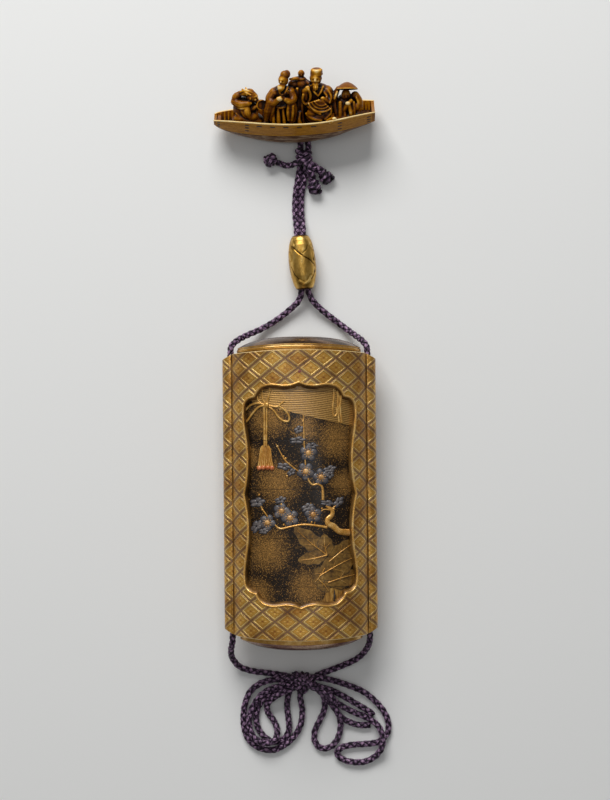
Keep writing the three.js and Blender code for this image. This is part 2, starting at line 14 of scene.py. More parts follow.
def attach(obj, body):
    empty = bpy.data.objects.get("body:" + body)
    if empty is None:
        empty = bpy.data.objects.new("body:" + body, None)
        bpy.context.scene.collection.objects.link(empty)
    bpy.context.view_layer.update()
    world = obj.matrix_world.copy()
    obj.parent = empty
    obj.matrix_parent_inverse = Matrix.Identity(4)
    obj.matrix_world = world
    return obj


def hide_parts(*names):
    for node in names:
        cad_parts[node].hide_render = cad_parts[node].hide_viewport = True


bl_info = {
    "name": "Inro Case",
    "version": (1, 0, 0),
    "blender": (4, 5, 0),
    "location": "View3D > Sidebar > Inro",
    "description": "Builds a lacquer inro case with its sheath, bead, netsuke and cord on the packed frame",
    "category": "Add Mesh",
}

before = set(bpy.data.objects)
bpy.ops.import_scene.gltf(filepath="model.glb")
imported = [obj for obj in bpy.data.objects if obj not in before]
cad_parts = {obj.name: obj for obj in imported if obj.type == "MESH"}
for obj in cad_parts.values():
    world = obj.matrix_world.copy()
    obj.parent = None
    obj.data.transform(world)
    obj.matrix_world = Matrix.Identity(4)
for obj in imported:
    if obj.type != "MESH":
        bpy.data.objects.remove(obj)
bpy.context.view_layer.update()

MM = 0.001

# ---------------------------------------------------------------- the case's own numbers, in millimetres
AXIS_Z = 11.35                 # height of the middle of the case above the floor
SHEATH_LENGTH = 91.6
SHEATH_HALF_WIDTH = 22.0
SHEATH_HALF_DEPTH = 11.5
CHANNEL_X = 21.9
CHANNEL_RADIUS = 2.6
BORE_RADIUS = 1.32
CAVITY_HALF_WIDTH = 19.9
CAVITY_HALF_DEPTH = 10.0
CAVITY_POWER = 2.2
FIT = 0.3
SEAMS = [32.6, 17.2, 1.8, -13.6, -29.0]
CASES = ["lid", "case_1", "case_2", "case_3", "case_4", "case_5"]
TOP_Y = 50.2
BOTTOM_Y = -49.7
WALL = 1.1
RISER = 0.8
RISER_HEIGHT = 3.0
FLOOR = 1.2
DOME = 2.4
CAMBER = 1.3
CORD_RADIUS = 1.0

# ---------------------------------------------------------------- routes of the cord, in millimetres
PAIR = [[2.0, 106.4, 1.9], [1.7, 104.4, 1.6], [1.2, 101.6, 1.2], [0.6, 98.4, 1.1], [0.2, 94.0, 1.1],
        [0.3, 89.6, 1.3], [0.6, 86.4, 2.6], [0.75, 83.2, 3.9], [1.1, 79.0, 4.25], [1.75, 70.0, 4.25],
        [2.1, 65.9, 3.9]]
PAIR_HALF = 0.99               # the two lie against each other


def beside(side):
    """One of the two cords that run side by side through the bead."""
    return [[x + side * PAIR_HALF, y, z] for x, y, z in PAIR]


LEFT_ROUTE = beside(-1) + [
    [0.2, 62.4, 2.8], [-2.7, 59.4, 2.0], [-7.8, 55.6, 1.6], [-12.6, 52.9, 2.2], [-16.8, 51.0, 4.6],
    [-19.8, 49.2, 8.4], [-21.6, 47.2, 10.8], [-21.9, 44.0, 11.35], [-21.9, 20, 11.35], [-21.9, 0, 11.35],
    [-21.9, -20, 11.35], [-21.9, -44.0, 11.35], [-22.1, -47.4, 10.7], [-22.7, -50.4, 7.6],
    [-22.4, -53.6, 4.0], [-20.2, -56.6, 2.0], [-16.0, -58.2, 1.3], [-11.6, -58.8, 1.2], [-7.4, -59.4, 1.4],
    [-3.4, -60.0, 2.0]]
RIGHT_ROUTE = beside(1) + [
    [4.6, 62.2, 2.8], [8.2, 58.6, 2.0], [12.0, 55.6, 1.6], [15.6, 52.8, 2.2], [18.6, 50.4, 5.4],
    [20.6, 48.6, 9.0], [21.7, 46.8, 10.9], [21.9, 44.0, 11.35], [21.9, 20, 11.35], [21.9, 0, 11.35],
    [21.9, -20, 11.35], [21.9, -44.0, 11.35], [21.9, -47.2, 10.6], [20.9, -50.6, 6.9], [18.2, -54.0, 3.2],
    [14.2, -56.2, 1.7], [10.2, -57.8, 1.3], [6.6, -59.0, 1.6], [4.3, -59.9, 2.3]]
BOW_ROUTES = {
    "bow_outer": [
        [1.0, -60.6, 2.2], [-3.9, -60.6, 2.9], [-9.4, -60.9, 2.6], [-13.5, -62.2, 1.4], [-16.8, -64.8, 1.1],
        [-18.4, -68.2, 1.05], [-19.1, -72, 1.05], [-19.0, -76.2, 1.05], [-17.6, -80.4, 1.05],
        [-14.2, -83.2, 1.05], [-9.6, -84.0, 1.05], [-5.6, -82.2, 1.05], [-2.2, -79.0, 1.05],
        [-0.4, -75.2, 1.05], [0.0, -70.8, 1.05], [-0.6, -67.0, 1.3], [-0.4, -63.6, 2.2]],
    "bow_second": [
        [0.4, -62.4, 3.0], [-3.3, -63.6, 1.8], [-4.6, -66.8, 1.1], [-4.9, -70.2, 1.05], [-4.5, -73.8, 1.05],
        [-4.4, -77.6, 1.05], [-6.0, -80.4, 1.05], [-9.2, -81.4, 1.05], [-12.2, -79.8, 1.05],
        [-14.4, -76.8, 1.05], [-15.0, -73.2, 1.05], [-14.0, -69.2, 1.2], [-10.4, -65.6, 2.0],
        [-5.8, -63.2, 2.9], [-0.6, -61.6, 3.2]],
    "bow_inner": [
        [0.2, -60.4, 3.6], [-4.0, -61.8, 4.1], [-8.0, -63.0, 3.9], [-12.0, -64.8, 2.8], [-15.2, -68.2, 2.3],
        [-16.9, -72.0, 2.2], [-17.2, -76.0, 2.4], [-15.6, -79.6, 3.0], [-12.2, -81.4, 3.2],
        [-9.0, -80.4, 3.0], [-8.2, -77.6, 1.6], [-9.2, -74.6, 1.1], [-11.2, -71.6, 1.2], [-11.2, -68.6, 2.6],
        [-8.4, -66.0, 4.0], [-4.4, -63.8, 4.6], [0.4, -62.6, 4.2]],
    "bow_long": [
        [1.2, -60.0, 3.6], [5.2, -60.2, 3.4], [10.2, -61.4, 2.0], [15.2, -63.2, 1.2], [19.8, -65.2, 1.05],
        [23.6, -68.2, 1.05], [26.6, -71.8, 1.05], [28.0, -75.4, 1.05], [27.6, -79.0, 1.05],
        [24.8, -81.6, 1.05], [20.4, -82.3, 1.05], [15.9, -82.6, 1.05], [12.4, -83.6, 1.05],
        [11.2, -85.4, 1.05], [13.0, -87.2, 1.05], [16.6, -88.2, 1.05], [20.4, -88.0, 1.05],
        [23.8, -86.2, 1.3], [25.8, -83.0, 2.7], [26.0, -79.4, 3.1], [24.6, -76.2, 2.4], [21.2, -73.8, 1.2],
        [16.9, -72.0, 1.05], [12.9, -69.8, 1.3], [9.2, -67.2, 2.6], [5.6, -64.4, 3.6], [1.8, -62.4, 4.0]],
    "bow_short": [
        [2.0, -61.2, 2.2], [5.6, -64.0, 1.5], [7.2, -67.4, 1.1], [7.2, -71.0, 1.05], [5.7, -74.4, 1.05],
        [4.1, -77.8, 1.05], [4.0, -81.2, 1.05], [5.8, -83.4, 1.05], [8.6, -83.4, 1.05], [10.9, -81.4, 1.05],
        [12.2, -78.2, 1.05], [12.4, -75.0, 1.05], [11.6, -72.2, 1.05], [9.8, -69.6, 1.05], [7.6, -66.6, 2.8],
        [4.4, -63.4, 3.2]],
}
# the two cut ends start in the knot, as its top turns
TAIL_ROUTES = {
    "tail_upper": [
        [-4.9, -59.6, 3.4], [-2.6, -60.2, 4.8], [0.2, -60.8, 5.6], [2.4, -61.8, 5.4], [6.1, -63.2, 4.4],
        [9.4, -64.4, 2.8], [13.0, -66.4, 1.4], [17.0, -68.8, 1.1], [21.0, -71.2, 1.1], [23.4, -72.9, 1.3]],
    "tail_lower": [
        [-2.6, -58.9, 2.6], [-1.2, -59.2, 4.4], [0.8, -60.6, 5.4], [3.6, -62.6, 5.6], [6.6, -64.4, 5.2],
        [9.6, -66.4, 4.4], [10.9, -70.6, 3.3], [12.6, -73.2, 2.6], [15.2, -75.0, 1.3], [18.4, -76.1, 1.05],
        [22.2, -76.2, 1.05]],
}
KNOT_ROUTES = [
    [[1.3, 115.6, 5.0], [1.2, 113.0, 4.5], [1.1, 110.8, 4.0], [1.3, 108.6, 3.4], [1.9, 106.6, 2.6]],
    [[3.4, 115.6, 4.8], [3.6, 113.0, 4.2], [3.6, 110.8, 3.6], [3.5, 108.6, 2.8], [2.6, 106.8, 2.0]],
    [[1.6, 107.8, 3.6], [-0.6, 106.7, 3.4], [-2.8, 106.1, 2.4], [-5.0, 106.7, 1.5], [-6.8, 107.6, 1.3]],
    [[2.6, 107.8, 4.0], [4.4, 106.2, 4.2], [6.2, 105.1, 3.2], [8.2, 103.8, 2.2], [9.4, 102.2, 1.6]],
    [[2.8, 107.8, 4.2], [3.7, 105.4, 4.4], [4.5, 103.2, 3.6], [4.9, 101.2, 2.4], [5.7, 98.9, 1.5]],
]

# ---------------------------------------------------------------- shader tools


def linear(code):
    """An sRGB hex value as a linear colour."""
    parts = [int(code[i:i + 2], 16) / 255 for i in (1, 3, 5)]
    return (*[c / 12.92 if c <= 0.04045 else ((c + 0.055) / 1.055) ** 2.4 for c in parts], 1.0)


def put(tree, kind, inputs=(), stops=None, **settings):
    """Adds a node: inputs by order, or by name in a dict, each a value or a socket; stops are a ramp's
    colours."""
    made = tree.nodes.new("ShaderNode" + kind)
    for key, value in settings.items():
        setattr(made, key, value)
    if stops:
        elements = made.color_ramp.elements
        while len(elements) < len(stops):
            elements.new(0.5)
        for element, (at, colour) in zip(elements, stops):
            element.position = at
            element.color = linear(colour) if isinstance(colour, str) else (colour, colour, colour, 1)
    for key, value in inputs.items() if isinstance(inputs, dict) else enumerate(inputs):
        if isinstance(value, bpy.types.NodeSocket):
            tree.links.new(value, made.inputs[key])
        elif value is not None:
            made.inputs[key].default_value = value
    return made.outputs[0] if made.outputs else made


def new_material(name):
    """An empty material and its node tree."""
    made = bpy.data.materials.new(name)
    made.use_nodes = True
    made.node_tree.nodes.clear()
    return made, made.node_tree


def object_mm(tree):
    """The piece's own coordinates, in millimetres."""
    place = put(tree, "TexCoord").node.outputs["Object"]
    return put(tree, "Mapping", {"Vector": place, "Scale": (1 / MM,) * 3})


# ---------------------------------------------------------------- modelling tools


def clear_selection():
    """An operator acts on all that is selected, so each piece starts with nothing selected."""
    if bpy.context.object and bpy.context.object.mode != "OBJECT":
        bpy.ops.object.mode_set(mode="OBJECT")
    bpy.ops.object.select_all(action="DESELECT")


def only(piece):
    """Makes one piece the selected and active one."""
    clear_selection()
    piece.select_set(True)
    bpy.context.view_layer.objects.active = piece
    return piece


def apply_modifier(piece, kind, **settings):
    """Adds a modifier and applies it."""
    only(piece)
    modifier = piece.modifiers.new(kind.title(), kind)
    for key, value in settings.items():
        setattr(modifier, key, value)
    bpy.ops.object.modifier_apply(modifier=modifier.name)
    return piece


def cut(piece, tool):
    """Cuts a tool piece out of a piece; the tool is then thrown away."""
    apply_modifier(piece, "BOOLEAN", operation="DIFFERENCE", solver="EXACT", object=tool)
    bpy.data.objects.remove(tool)


def join_pieces(name, parts):
    """Several pieces as one."""
    clear_selection()
    for part in parts:
        part.select_set(True)
    bpy.context.view_layer.objects.active = parts[0]
    if len(parts) > 1:
        bpy.ops.object.join()
    joined = bpy.context.object
    joined.name = joined.data.name = name
    return joined


def leave_edit_mode():
    """Turns every face of the edited piece outwards and goes back to object mode."""
    bpy.ops.mesh.select_all(action="SELECT")
    bpy.ops.mesh.normals_make_consistent(inside=False)
    bpy.ops.object.mode_set(mode="OBJECT")


def raise_rings(name, rings, closed=False):
    """A circle, extruded ring by ring in edit mode, with each ring's points then set; closed joins last to
    first."""
    count = len(rings[0])
    clear_selection()
    bpy.ops.mesh.primitive_circle_add(vertices=count, radius=1)
    piece = bpy.context.object
    piece.name = piece.data.name = name
    bpy.ops.object.mode_set(mode="EDIT")
    bpy.ops.mesh.select_all(action="SELECT")
    for _ in rings[1:]:
        bpy.ops.mesh.extrude_region_move(TRANSFORM_OT_translate={"value": (0, 0, 1)})
    bpy.ops.object.mode_set(mode="OBJECT")
    start = math.atan2(piece.data.vertices[0].co.y, piece.data.vertices[0].co.x)
    for vertex in piece.data.vertices:
        turn = (math.atan2(vertex.co.y, vertex.co.x) - start) / (2 * math.pi) * count
        vertex.co = rings[round(vertex.co.z)][round(turn) % count]
    bpy.ops.object.mode_set(mode="EDIT")
    bpy.ops.mesh.select_mode(type="EDGE")
    bpy.ops.mesh.select_all(action="DESELECT")
    bpy.ops.mesh.select_non_manifold()
    if closed:
        bpy.ops.mesh.bridge_edge_loops()
    else:
        bpy.ops.mesh.fill_holes(sides=0)
    leave_edit_mode()
    return piece


def set_attribute(mesh, label, values):
    """Keeps a value for each point of a mesh, for its finish to read."""
    mesh.attributes.new(label, "FLOAT", "POINT").data.foreach_set("value", np.asarray(values, np.float32))


def copy_of(piece, place):
    """A copy with its own mesh, moved by a matrix."""
    made = piece.copy()
    made.data = piece.data.copy()
    bpy.context.scene.collection.objects.link(made)
    made.data.transform(place)
    return made


def tube(name, points, radii, thick=1.0, sides=2, closed=False):
    """A round rod along points; radii are shares of thick, one for each point."""
    line = bpy.data.curves.new(name, "CURVE")
    line.dimensions = "3D"
    line.bevel_depth = thick
    line.bevel_resolution = sides
    line.use_fill_caps = not closed
    spline = line.splines.new("POLY")
    spline.points.add(len(points) - 1)
    for point, spot, radius in zip(spline.points, points, radii):
        point.co = (*spot, 1)
        point.radius = radius
    spline.use_cyclic_u = closed
    piece = bpy.data.objects.new(name, line)
    bpy.context.scene.collection.objects.link(piece)
    only(piece)
    bpy.ops.object.convert(target="MESH")
    return bpy.context.object


def finish_piece(piece, materials, nodes=(), smooth=35.0, in_metres=False):
    """Brings a piece to metres with its place in its mesh, gives it its materials and sets it on the
    frame."""
    only(piece)
    bpy.ops.object.transform_apply(location=True, rotation=True, scale=True)
    if not in_metres:
        piece.data.transform(Matrix.Scale(MM, 4))
    if smooth is not None:
        bpy.ops.object.shade_smooth_by_angle(angle=math.radians(smooth))
    if materials:
        piece.data.materials.clear()
        for material in materials:
            piece.data.materials.append(material)
    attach(piece, "root")
    if nodes:
        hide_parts(*nodes)
    return piece


# ---------------------------------------------------------------- cord tools
BRAID_LAY = 7.5                # one turn of a yarn
BRAID_MIDDLE = 0.56            # of the yarns' centres from the cord's
BRAID_RISE = 0.20              # how far a yarn rides over and under
YARN_HALF_WIDTH = 0.54
YARN_HALF_DEPTH = 0.26
YARNS = 3                      # each way
YARN_SIDES = 8


def smooth_line(points, step=0.35):
    """A centripetal Catmull-Rom line through the points, with points about step apart."""
    p = np.array(points, float)
    p = np.vstack([2 * p[0] - p[1], p, 2 * p[-1] - p[-2]])
    out = []
    for a, b, c, d in zip(p, p[1:], p[2:], p[3:]):
        gaps = [max(math.sqrt(np.linalg.norm(v)), 1e-6) for v in (b - a, c - b, d - c)]
        t = np.cumsum([0.0] + gaps)
        for u in np.linspace(t[1], t[2], max(2, int(np.linalg.norm(c - b) / 0.1)), endpoint=False):
            first = [((t[k + 1] - u) * v + (u - t[k]) * w) / (t[k + 1] - t[k])
                     for k, (v, w) in enumerate(((a, b), (b, c), (c, d)))]
            second = [((t[k + 2] - u) * first[k] + (u - t[k]) * first[k + 1]) / (t[k + 2] - t[k])
                      for k in (0, 1)]
            out.append(((t[2] - u) * second[0] + (u - t[1]) * second[1]) / (t[2] - t[1]))
    out.append(p[-2])
    out = np.array(out)
    along = np.concatenate([[0], np.cumsum(np.linalg.norm(np.diff(out, axis=0), axis=1))])
    at = np.linspace(0, along[-1], max(4, round(along[-1] / step) + 1))
    return np.stack([np.interp(at, along, out[:, k]) for k in range(3)], axis=1)


def frames_along(line):
    """Tangents and two untwisted side vectors for each point of a line."""
    tangent = np.gradient(line, axis=0)
    tangent /= np.linalg.norm(tangent, axis=1)[:, None]
    side = np.cross(tangent[0], [0.0, 0.0, 1.0])
    if np.linalg.norm(side) < 0.1:
        side = np.cross(tangent[0], [1.0, 0.0, 0.0])
    sides = []
    for t in tangent:
        side = side - t * (side @ t)
        side /= np.linalg.norm(side)
        sides.append(side)
    sides = np.array(sides)
    return tangent, sides, np.cross(tangent, sides)


def braid_mesh(name, routes, swell):
    """Round braids of six silk yarns, three each way, over one and under one, along routes in millimetres.
    uv is millimetres across and along a yarn, and crest tells how high a point stands on the braid."""
    verts, faces, uvs, crests, tones = [], [], [], [], []
    rng = np.random.default_rng(7)
    for route in routes:
        line = smooth_line(route)
        _, side, up = frames_along(line)
        along = np.concatenate([[0], np.cumsum(np.linalg.norm(np.diff(line, axis=0), axis=1))])
        phase = along * 2 * math.pi / BRAID_LAY
        ends = np.clip(np.minimum(along, along[-1] - along) / 0.5, 0.35, 1.0)[:, None, None]
        for way in (1, -1):
            for k in range(YARNS):
                turn = way * phase + (k + 0.03) * 2 * math.pi / YARNS
                middle = (BRAID_MIDDLE + way * BRAID_RISE * np.cos(phase * YARNS)) * swell
                out = np.cos(turn)[:, None] * side + np.sin(turn)[:, None] * up
                centre = line + out * middle[:, None]
                heading = np.gradient(centre, axis=0)
                heading /= np.linalg.norm(heading, axis=1)[:, None]
                across = np.cross(heading, out)
                across /= np.linalg.norm(across, axis=1)[:, None]
                high = np.cross(across, heading)
                a = np.arange(YARN_SIDES) * 2 * math.pi / YARN_SIDES
                bulge = 1 + 0.05 * rng.standard_normal()
                ring = (centre[:, None, :]
                        + ends * swell * bulge * YARN_HALF_WIDTH * np.cos(a)[None, :, None]
                        * across[:, None, :]
                        + ends * swell * YARN_HALF_DEPTH * np.sin(a)[None, :, None] * high[:, None, :])
                base = sum(len(v) for v in verts)
                n = len(line)
                verts.append(ring.reshape(-1, 3))
                i, j = np.meshgrid(np.arange(n - 1), np.arange(YARN_SIDES), indexing="ij")
                j2 = (j + 1) % YARN_SIDES
                quads = np.stack([i * YARN_SIDES + j, i * YARN_SIDES + j2, (i + 1) * YARN_SIDES + j2,
                                  (i + 1) * YARN_SIDES + j], axis=-1).reshape(-1, 4) + base
                faces += quads.tolist()
                faces.append([base + q for q in range(YARN_SIDES)][::-1])
                faces.append([base + (n - 1) * YARN_SIDES + q for q in range(YARN_SIDES)])
                height = np.linalg.norm(ring - line[:, None, :], axis=2) / swell
                crests.append(height.reshape(-1))
                tones.append(np.full(n * YARN_SIDES, rng.random()))
                width = np.sin(a / 2) * YARN_HALF_WIDTH * 3
                uvs.append(np.stack([np.broadcast_to(width, (n, YARN_SIDES)) + k + 5 * (way > 0),
                                     np.broadcast_to(along[:, None], (n, YARN_SIDES))],
                                    axis=-1).reshape(-1, 2))
    mesh = bpy.data.meshes.new(name)
    mesh.from_pydata((np.vstack(verts) * MM).tolist(), [], faces)
    mesh.update()
    corner = np.empty(len(mesh.loops), np.int32)
    mesh.loops.foreach_get("vertex_index", corner)
    layer = mesh.uv_layers.new(name="yarn")
    layer.data.foreach_set("uv", np.vstack(uvs)[corner].astype(np.float32).ravel())
    set_attribute(mesh, "crest", np.concatenate(crests))
    set_attribute(mesh, "tone", np.concatenate(tones))
    mesh.shade_smooth()
    piece = bpy.data.objects.new(name, mesh)
    bpy.context.scene.collection.objects.link(piece)
    only(piece)
    bpy.ops.object.mode_set(mode="EDIT")
    leave_edit_mode()
    return piece


def length_of(route):
    """The length of a route, in metres."""
    line = smooth_line(route)
    return float(np.linalg.norm(np.diff(line, axis=0), axis=1).sum()) * MM

# ---------------------------------------------------------------- finishes


def silk_finish(colour):
    """Filament silk, dyed murasaki purple and braided. Its colour is painted by how high each point stands on
    the braid: painted shade, nearly black, in the valleys between the yarns, and a painted lilac highlight on
    the crests, broken into streaks along the fine parallel filaments; the shader adds a soft sheen. Filaments
    are 0.02 mm; they are drawn 0.3 mm apart to show."""
    made, tree = new_material("braided_silk")
    uv = put(tree, "UVMap", uv_map="yarn")
    fine = put(tree, "Mapping", {"Vector": uv, "Scale": (3.4, 0.8, 1.0)})
    fibre = put(tree, "TexNoise", {"Vector": fine, "Scale": 1.0, "Detail": 3.0, "Roughness": 0.6})
    crest = put(tree, "Attribute", attribute_name="crest").node.outputs["Fac"]
    tone = put(tree, "Attribute", attribute_name="tone").node.outputs["Fac"]
    lift = put(tree, "Math", (fibre, 0.9, -0.45), operation="MULTIPLY_ADD")
    lift = put(tree, "Math", (tone, 0.10, lift), operation="MULTIPLY_ADD")
    # painted light: the ramp below turns height on the braid into painted shade, near black, in the valleys
    # and a painted lilac highlight on the crests
    level = put(tree, "Math", (put(tree, "Math", (crest, lift), operation="ADD"), 0.75), operation="MULTIPLY")
    base = put(tree, "ValToRGB", (level,), stops=[
        (0.5, "#040204"), (0.65, "#160a16"), (0.75, colour), (0.885, "#c09cbc")])
    bump = put(tree, "Bump", {"Strength": 0.5, "Distance": 0.00006, "Height": fibre})
    shader = put(tree, "BsdfPrincipled", {
        "Base Color": base, "Roughness": 0.45, "IOR": 1.54, "Specular IOR Level": 0.25, "Normal": bump,
        "Sheen Weight": 0.03, "Sheen Roughness": 0.4, "Sheen Tint": linear("#a68bab")})
    put(tree, "OutputMaterial", (shader,))
    return made


def paper_finish(colour):
    """Matt seamless studio paper: plain, with no gloss."""
    made, tree = new_material("studio_paper")
    shader = put(tree, "BsdfPrincipled", {
        "Base Color": linear(colour), "Roughness": 0.9, "IOR": 1.4, "Specular IOR Level": 0.2})
    put(tree, "OutputMaterial", (shader,))
    return made


def lattice_finish(gold, bar):
    """Gold hiramaki-e on lacquer: a lozenge lattice in gold powder, each cell a fine double frame round a
    four-petalled flower, between worn bars of a greyer metal. Burnished powder is metallic but soft, under a
    thin clear lacquer."""
    made, tree = new_material("gold_makie_lattice")
    cells = put(tree, "SeparateXYZ", (put(tree, "UVMap", uv_map="lattice"),)).node.outputs
    p = put(tree, "Math", (cells[0], 0.5, -0.5), operation="WRAP")
    q = put(tree, "Math", (cells[1], 0.5, -0.5), operation="WRAP")
    p_far = put(tree, "Math", (p,), operation="ABSOLUTE")
    q_far = put(tree, "Math", (q,), operation="ABSOLUTE")
    m = put(tree, "Math", (put(tree, "Math", (p_far, q_far), operation="MAXIMUM"), 2.0), operation="MULTIPLY")
    mm = object_mm(tree)
    # hand-laid lines are never quite even
    waver = put(tree, "TexNoise", {"Vector": mm, "Scale": 0.9, "Detail": 2.0})
    m = put(tree, "Math", (m, put(tree, "Math", (waver, 0.05, -0.025), operation="MULTIPLY_ADD")),
            operation="ADD")
    frames = put(tree, "ValToRGB", (m,), stops=[
        (0.00, gold), (0.58, gold), (0.65, "#9a7434"), (0.695, "#fbe09a"), (0.755, "#fde4a4"),
        (0.785, "#8a6530"), (0.81, "#80602c"), (0.83, "#ecc47a"), (0.87, "#dcb36c"), (0.895, "#644832"),
        (0.925, bar), (1.0, bar)])
    # flower: four petals towards the corners of the cell and a red-brown heart
    x = put(tree, "Math", (put(tree, "Math", (p, q), operation="ADD"),), operation="ABSOLUTE")
    y = put(tree, "Math", (put(tree, "Math", (p, q), operation="SUBTRACT"),), operation="ABSOLUTE")
    reaches = []
    for along, beside in ((x, y), (y, x)):
        out = put(tree, "Math", (along, 0.24), operation="SUBTRACT")
        over = put(tree, "Math", (beside, 1.35), operation="MULTIPLY")
        spot = put(tree, "CombineXYZ", (out, over, 0.0))
        reaches.append(put(tree, "VectorMath", (spot,), operation="LENGTH").node.outputs["Value"])
    petal = put(tree, "Math", reaches, operation="MINIMUM")
    petals = put(tree, "ValToRGB", (petal,), stops=[(0.07, 1.0), (0.13, 0.0)])
    centre = put(tree, "Math", (x, y), operation="ADD")
    heart = put(tree, "ValToRGB", (centre,), stops=[(0.05, 1.0), (0.15, 0.0)])
    colour = put(tree, "MixRGB", (petals, frames, linear("#e8c272")))
    colour = put(tree, "MixRGB", (heart, colour, linear("#a8743a")))
    # gold powder: grains drawn 0.25 mm so that they show, and slow changes of density
    grain = put(tree, "TexNoise", {"Vector": mm, "Scale": 3.6, "Detail": 4.0, "Roughness": 0.7})
    cloud = put(tree, "TexNoise", {"Vector": mm, "Scale": 0.13, "Detail": 3.0, "Roughness": 0.55})
    dust = put(tree, "ValToRGB", (grain,), stops=[(0.30, "#a27a3a"), (0.5, "#f6e8c2"), (0.72, "#ffffff")])
    colour = put(tree, "MixRGB", (0.75, colour, dust), blend_type="MULTIPLY")
    worn = put(tree, "ValToRGB", (cloud,), stops=[(0.33, "#b89a62"), (0.58, "#ffffff")])
    colour = put(tree, "MixRGB", (0.8, colour, worn), blend_type="MULTIPLY")
    relief = put(tree, "ValToRGB", (m,), stops=[
        (0.0, 0.45), (0.60, 0.45), (0.66, 0.3), (0.70, 1.0), (0.75, 1.0), (0.79, 0.35), (0.83, 0.8),
        (0.87, 0.8), (0.90, 0.0), (1.0, 0.15)])
    relief = put(tree, "Math", (petals, 0.3, relief), operation="MULTIPLY_ADD")
    relief = put(tree, "Math", (grain, 0.18, relief), operation="MULTIPLY_ADD")
    bump = put(tree, "Bump", {"Strength": 0.8, "Distance": 0.00011, "Height": relief})
    shine = put(tree, "ValToRGB", (m,), stops=[(0.0, 0.6), (0.88, 0.6), (0.92, 0.35), (1.0, 0.35)])
    rough = put(tree, "Math", (grain, 0.22, 0.27), operation="MULTIPLY_ADD")
    shader = put(tree, "BsdfPrincipled", {
        "Base Color": colour, "Metallic": shine, "Roughness": rough, "Normal": bump, "Coat Weight": 0.2,
        "Coat Roughness": 0.2, "Coat IOR": 1.52})
    put(tree, "OutputMaterial", (shader,))
    return made


def fundame_finish(gold, name, rough=0.34, dark="#5b4220", light="#e2c07c", uneven=(1.0, 1.0, 1.0),
                   bumps=0.35):
    """Fundame: dense fine gold powder sunk in lacquer and polished, an even soft gold that shows brown where
    worn."""
    made, tree = new_material(name)
    mm = object_mm(tree)
    grain = put(tree, "TexNoise", {"Vector": mm, "Scale": 3.2, "Detail": 5.0, "Roughness": 0.7})
    run = put(tree, "Mapping", {"Vector": mm, "Scale": uneven})
    cloud = put(tree, "TexNoise", {"Vector": run, "Scale": 0.22, "Detail": 4.0, "Roughness": 0.6})
    mixed = put(tree, "Math", (cloud, put(tree, "Math", (grain, 0.4, -0.2), operation="MULTIPLY_ADD")),
                operation="ADD")
    colour = put(tree, "ValToRGB", (mixed,), stops=[(0.28, dark), (0.48, gold), (0.74, light)])
    bump = put(tree, "Bump", {"Strength": bumps, "Distance": 0.00005, "Height": grain})
    roughness = put(tree, "Math", (grain, 0.2, rough - 0.1), operation="MULTIPLY_ADD")
    shader = put(tree, "BsdfPrincipled", {
        "Base Color": colour, "Metallic": 0.55, "Roughness": roughness, "Normal": bump, "Coat Weight": 0.3,
        "Coat Roughness": 0.15, "Coat IOR": 1.52})
    put(tree, "OutputMaterial", (shader,))
    return made


# centres of the clouds of gold dust, as (x, y, reach) in millimetres over the front of the inner case
DUST_CLOUDS = [(-9.6, 24.5, 8.5), (11.5, 17.5, 9.0), (-6.8, 4.2, 9.5), (-10.2, -17.5, 9.5), (2.6, -29.0, 8.5),
               (-14.0, -31.0, 7.0), (13.6, 3.6, 6.0), (-15.5, 12.0, 5.0), (2.0, 21.0, 6.5)]


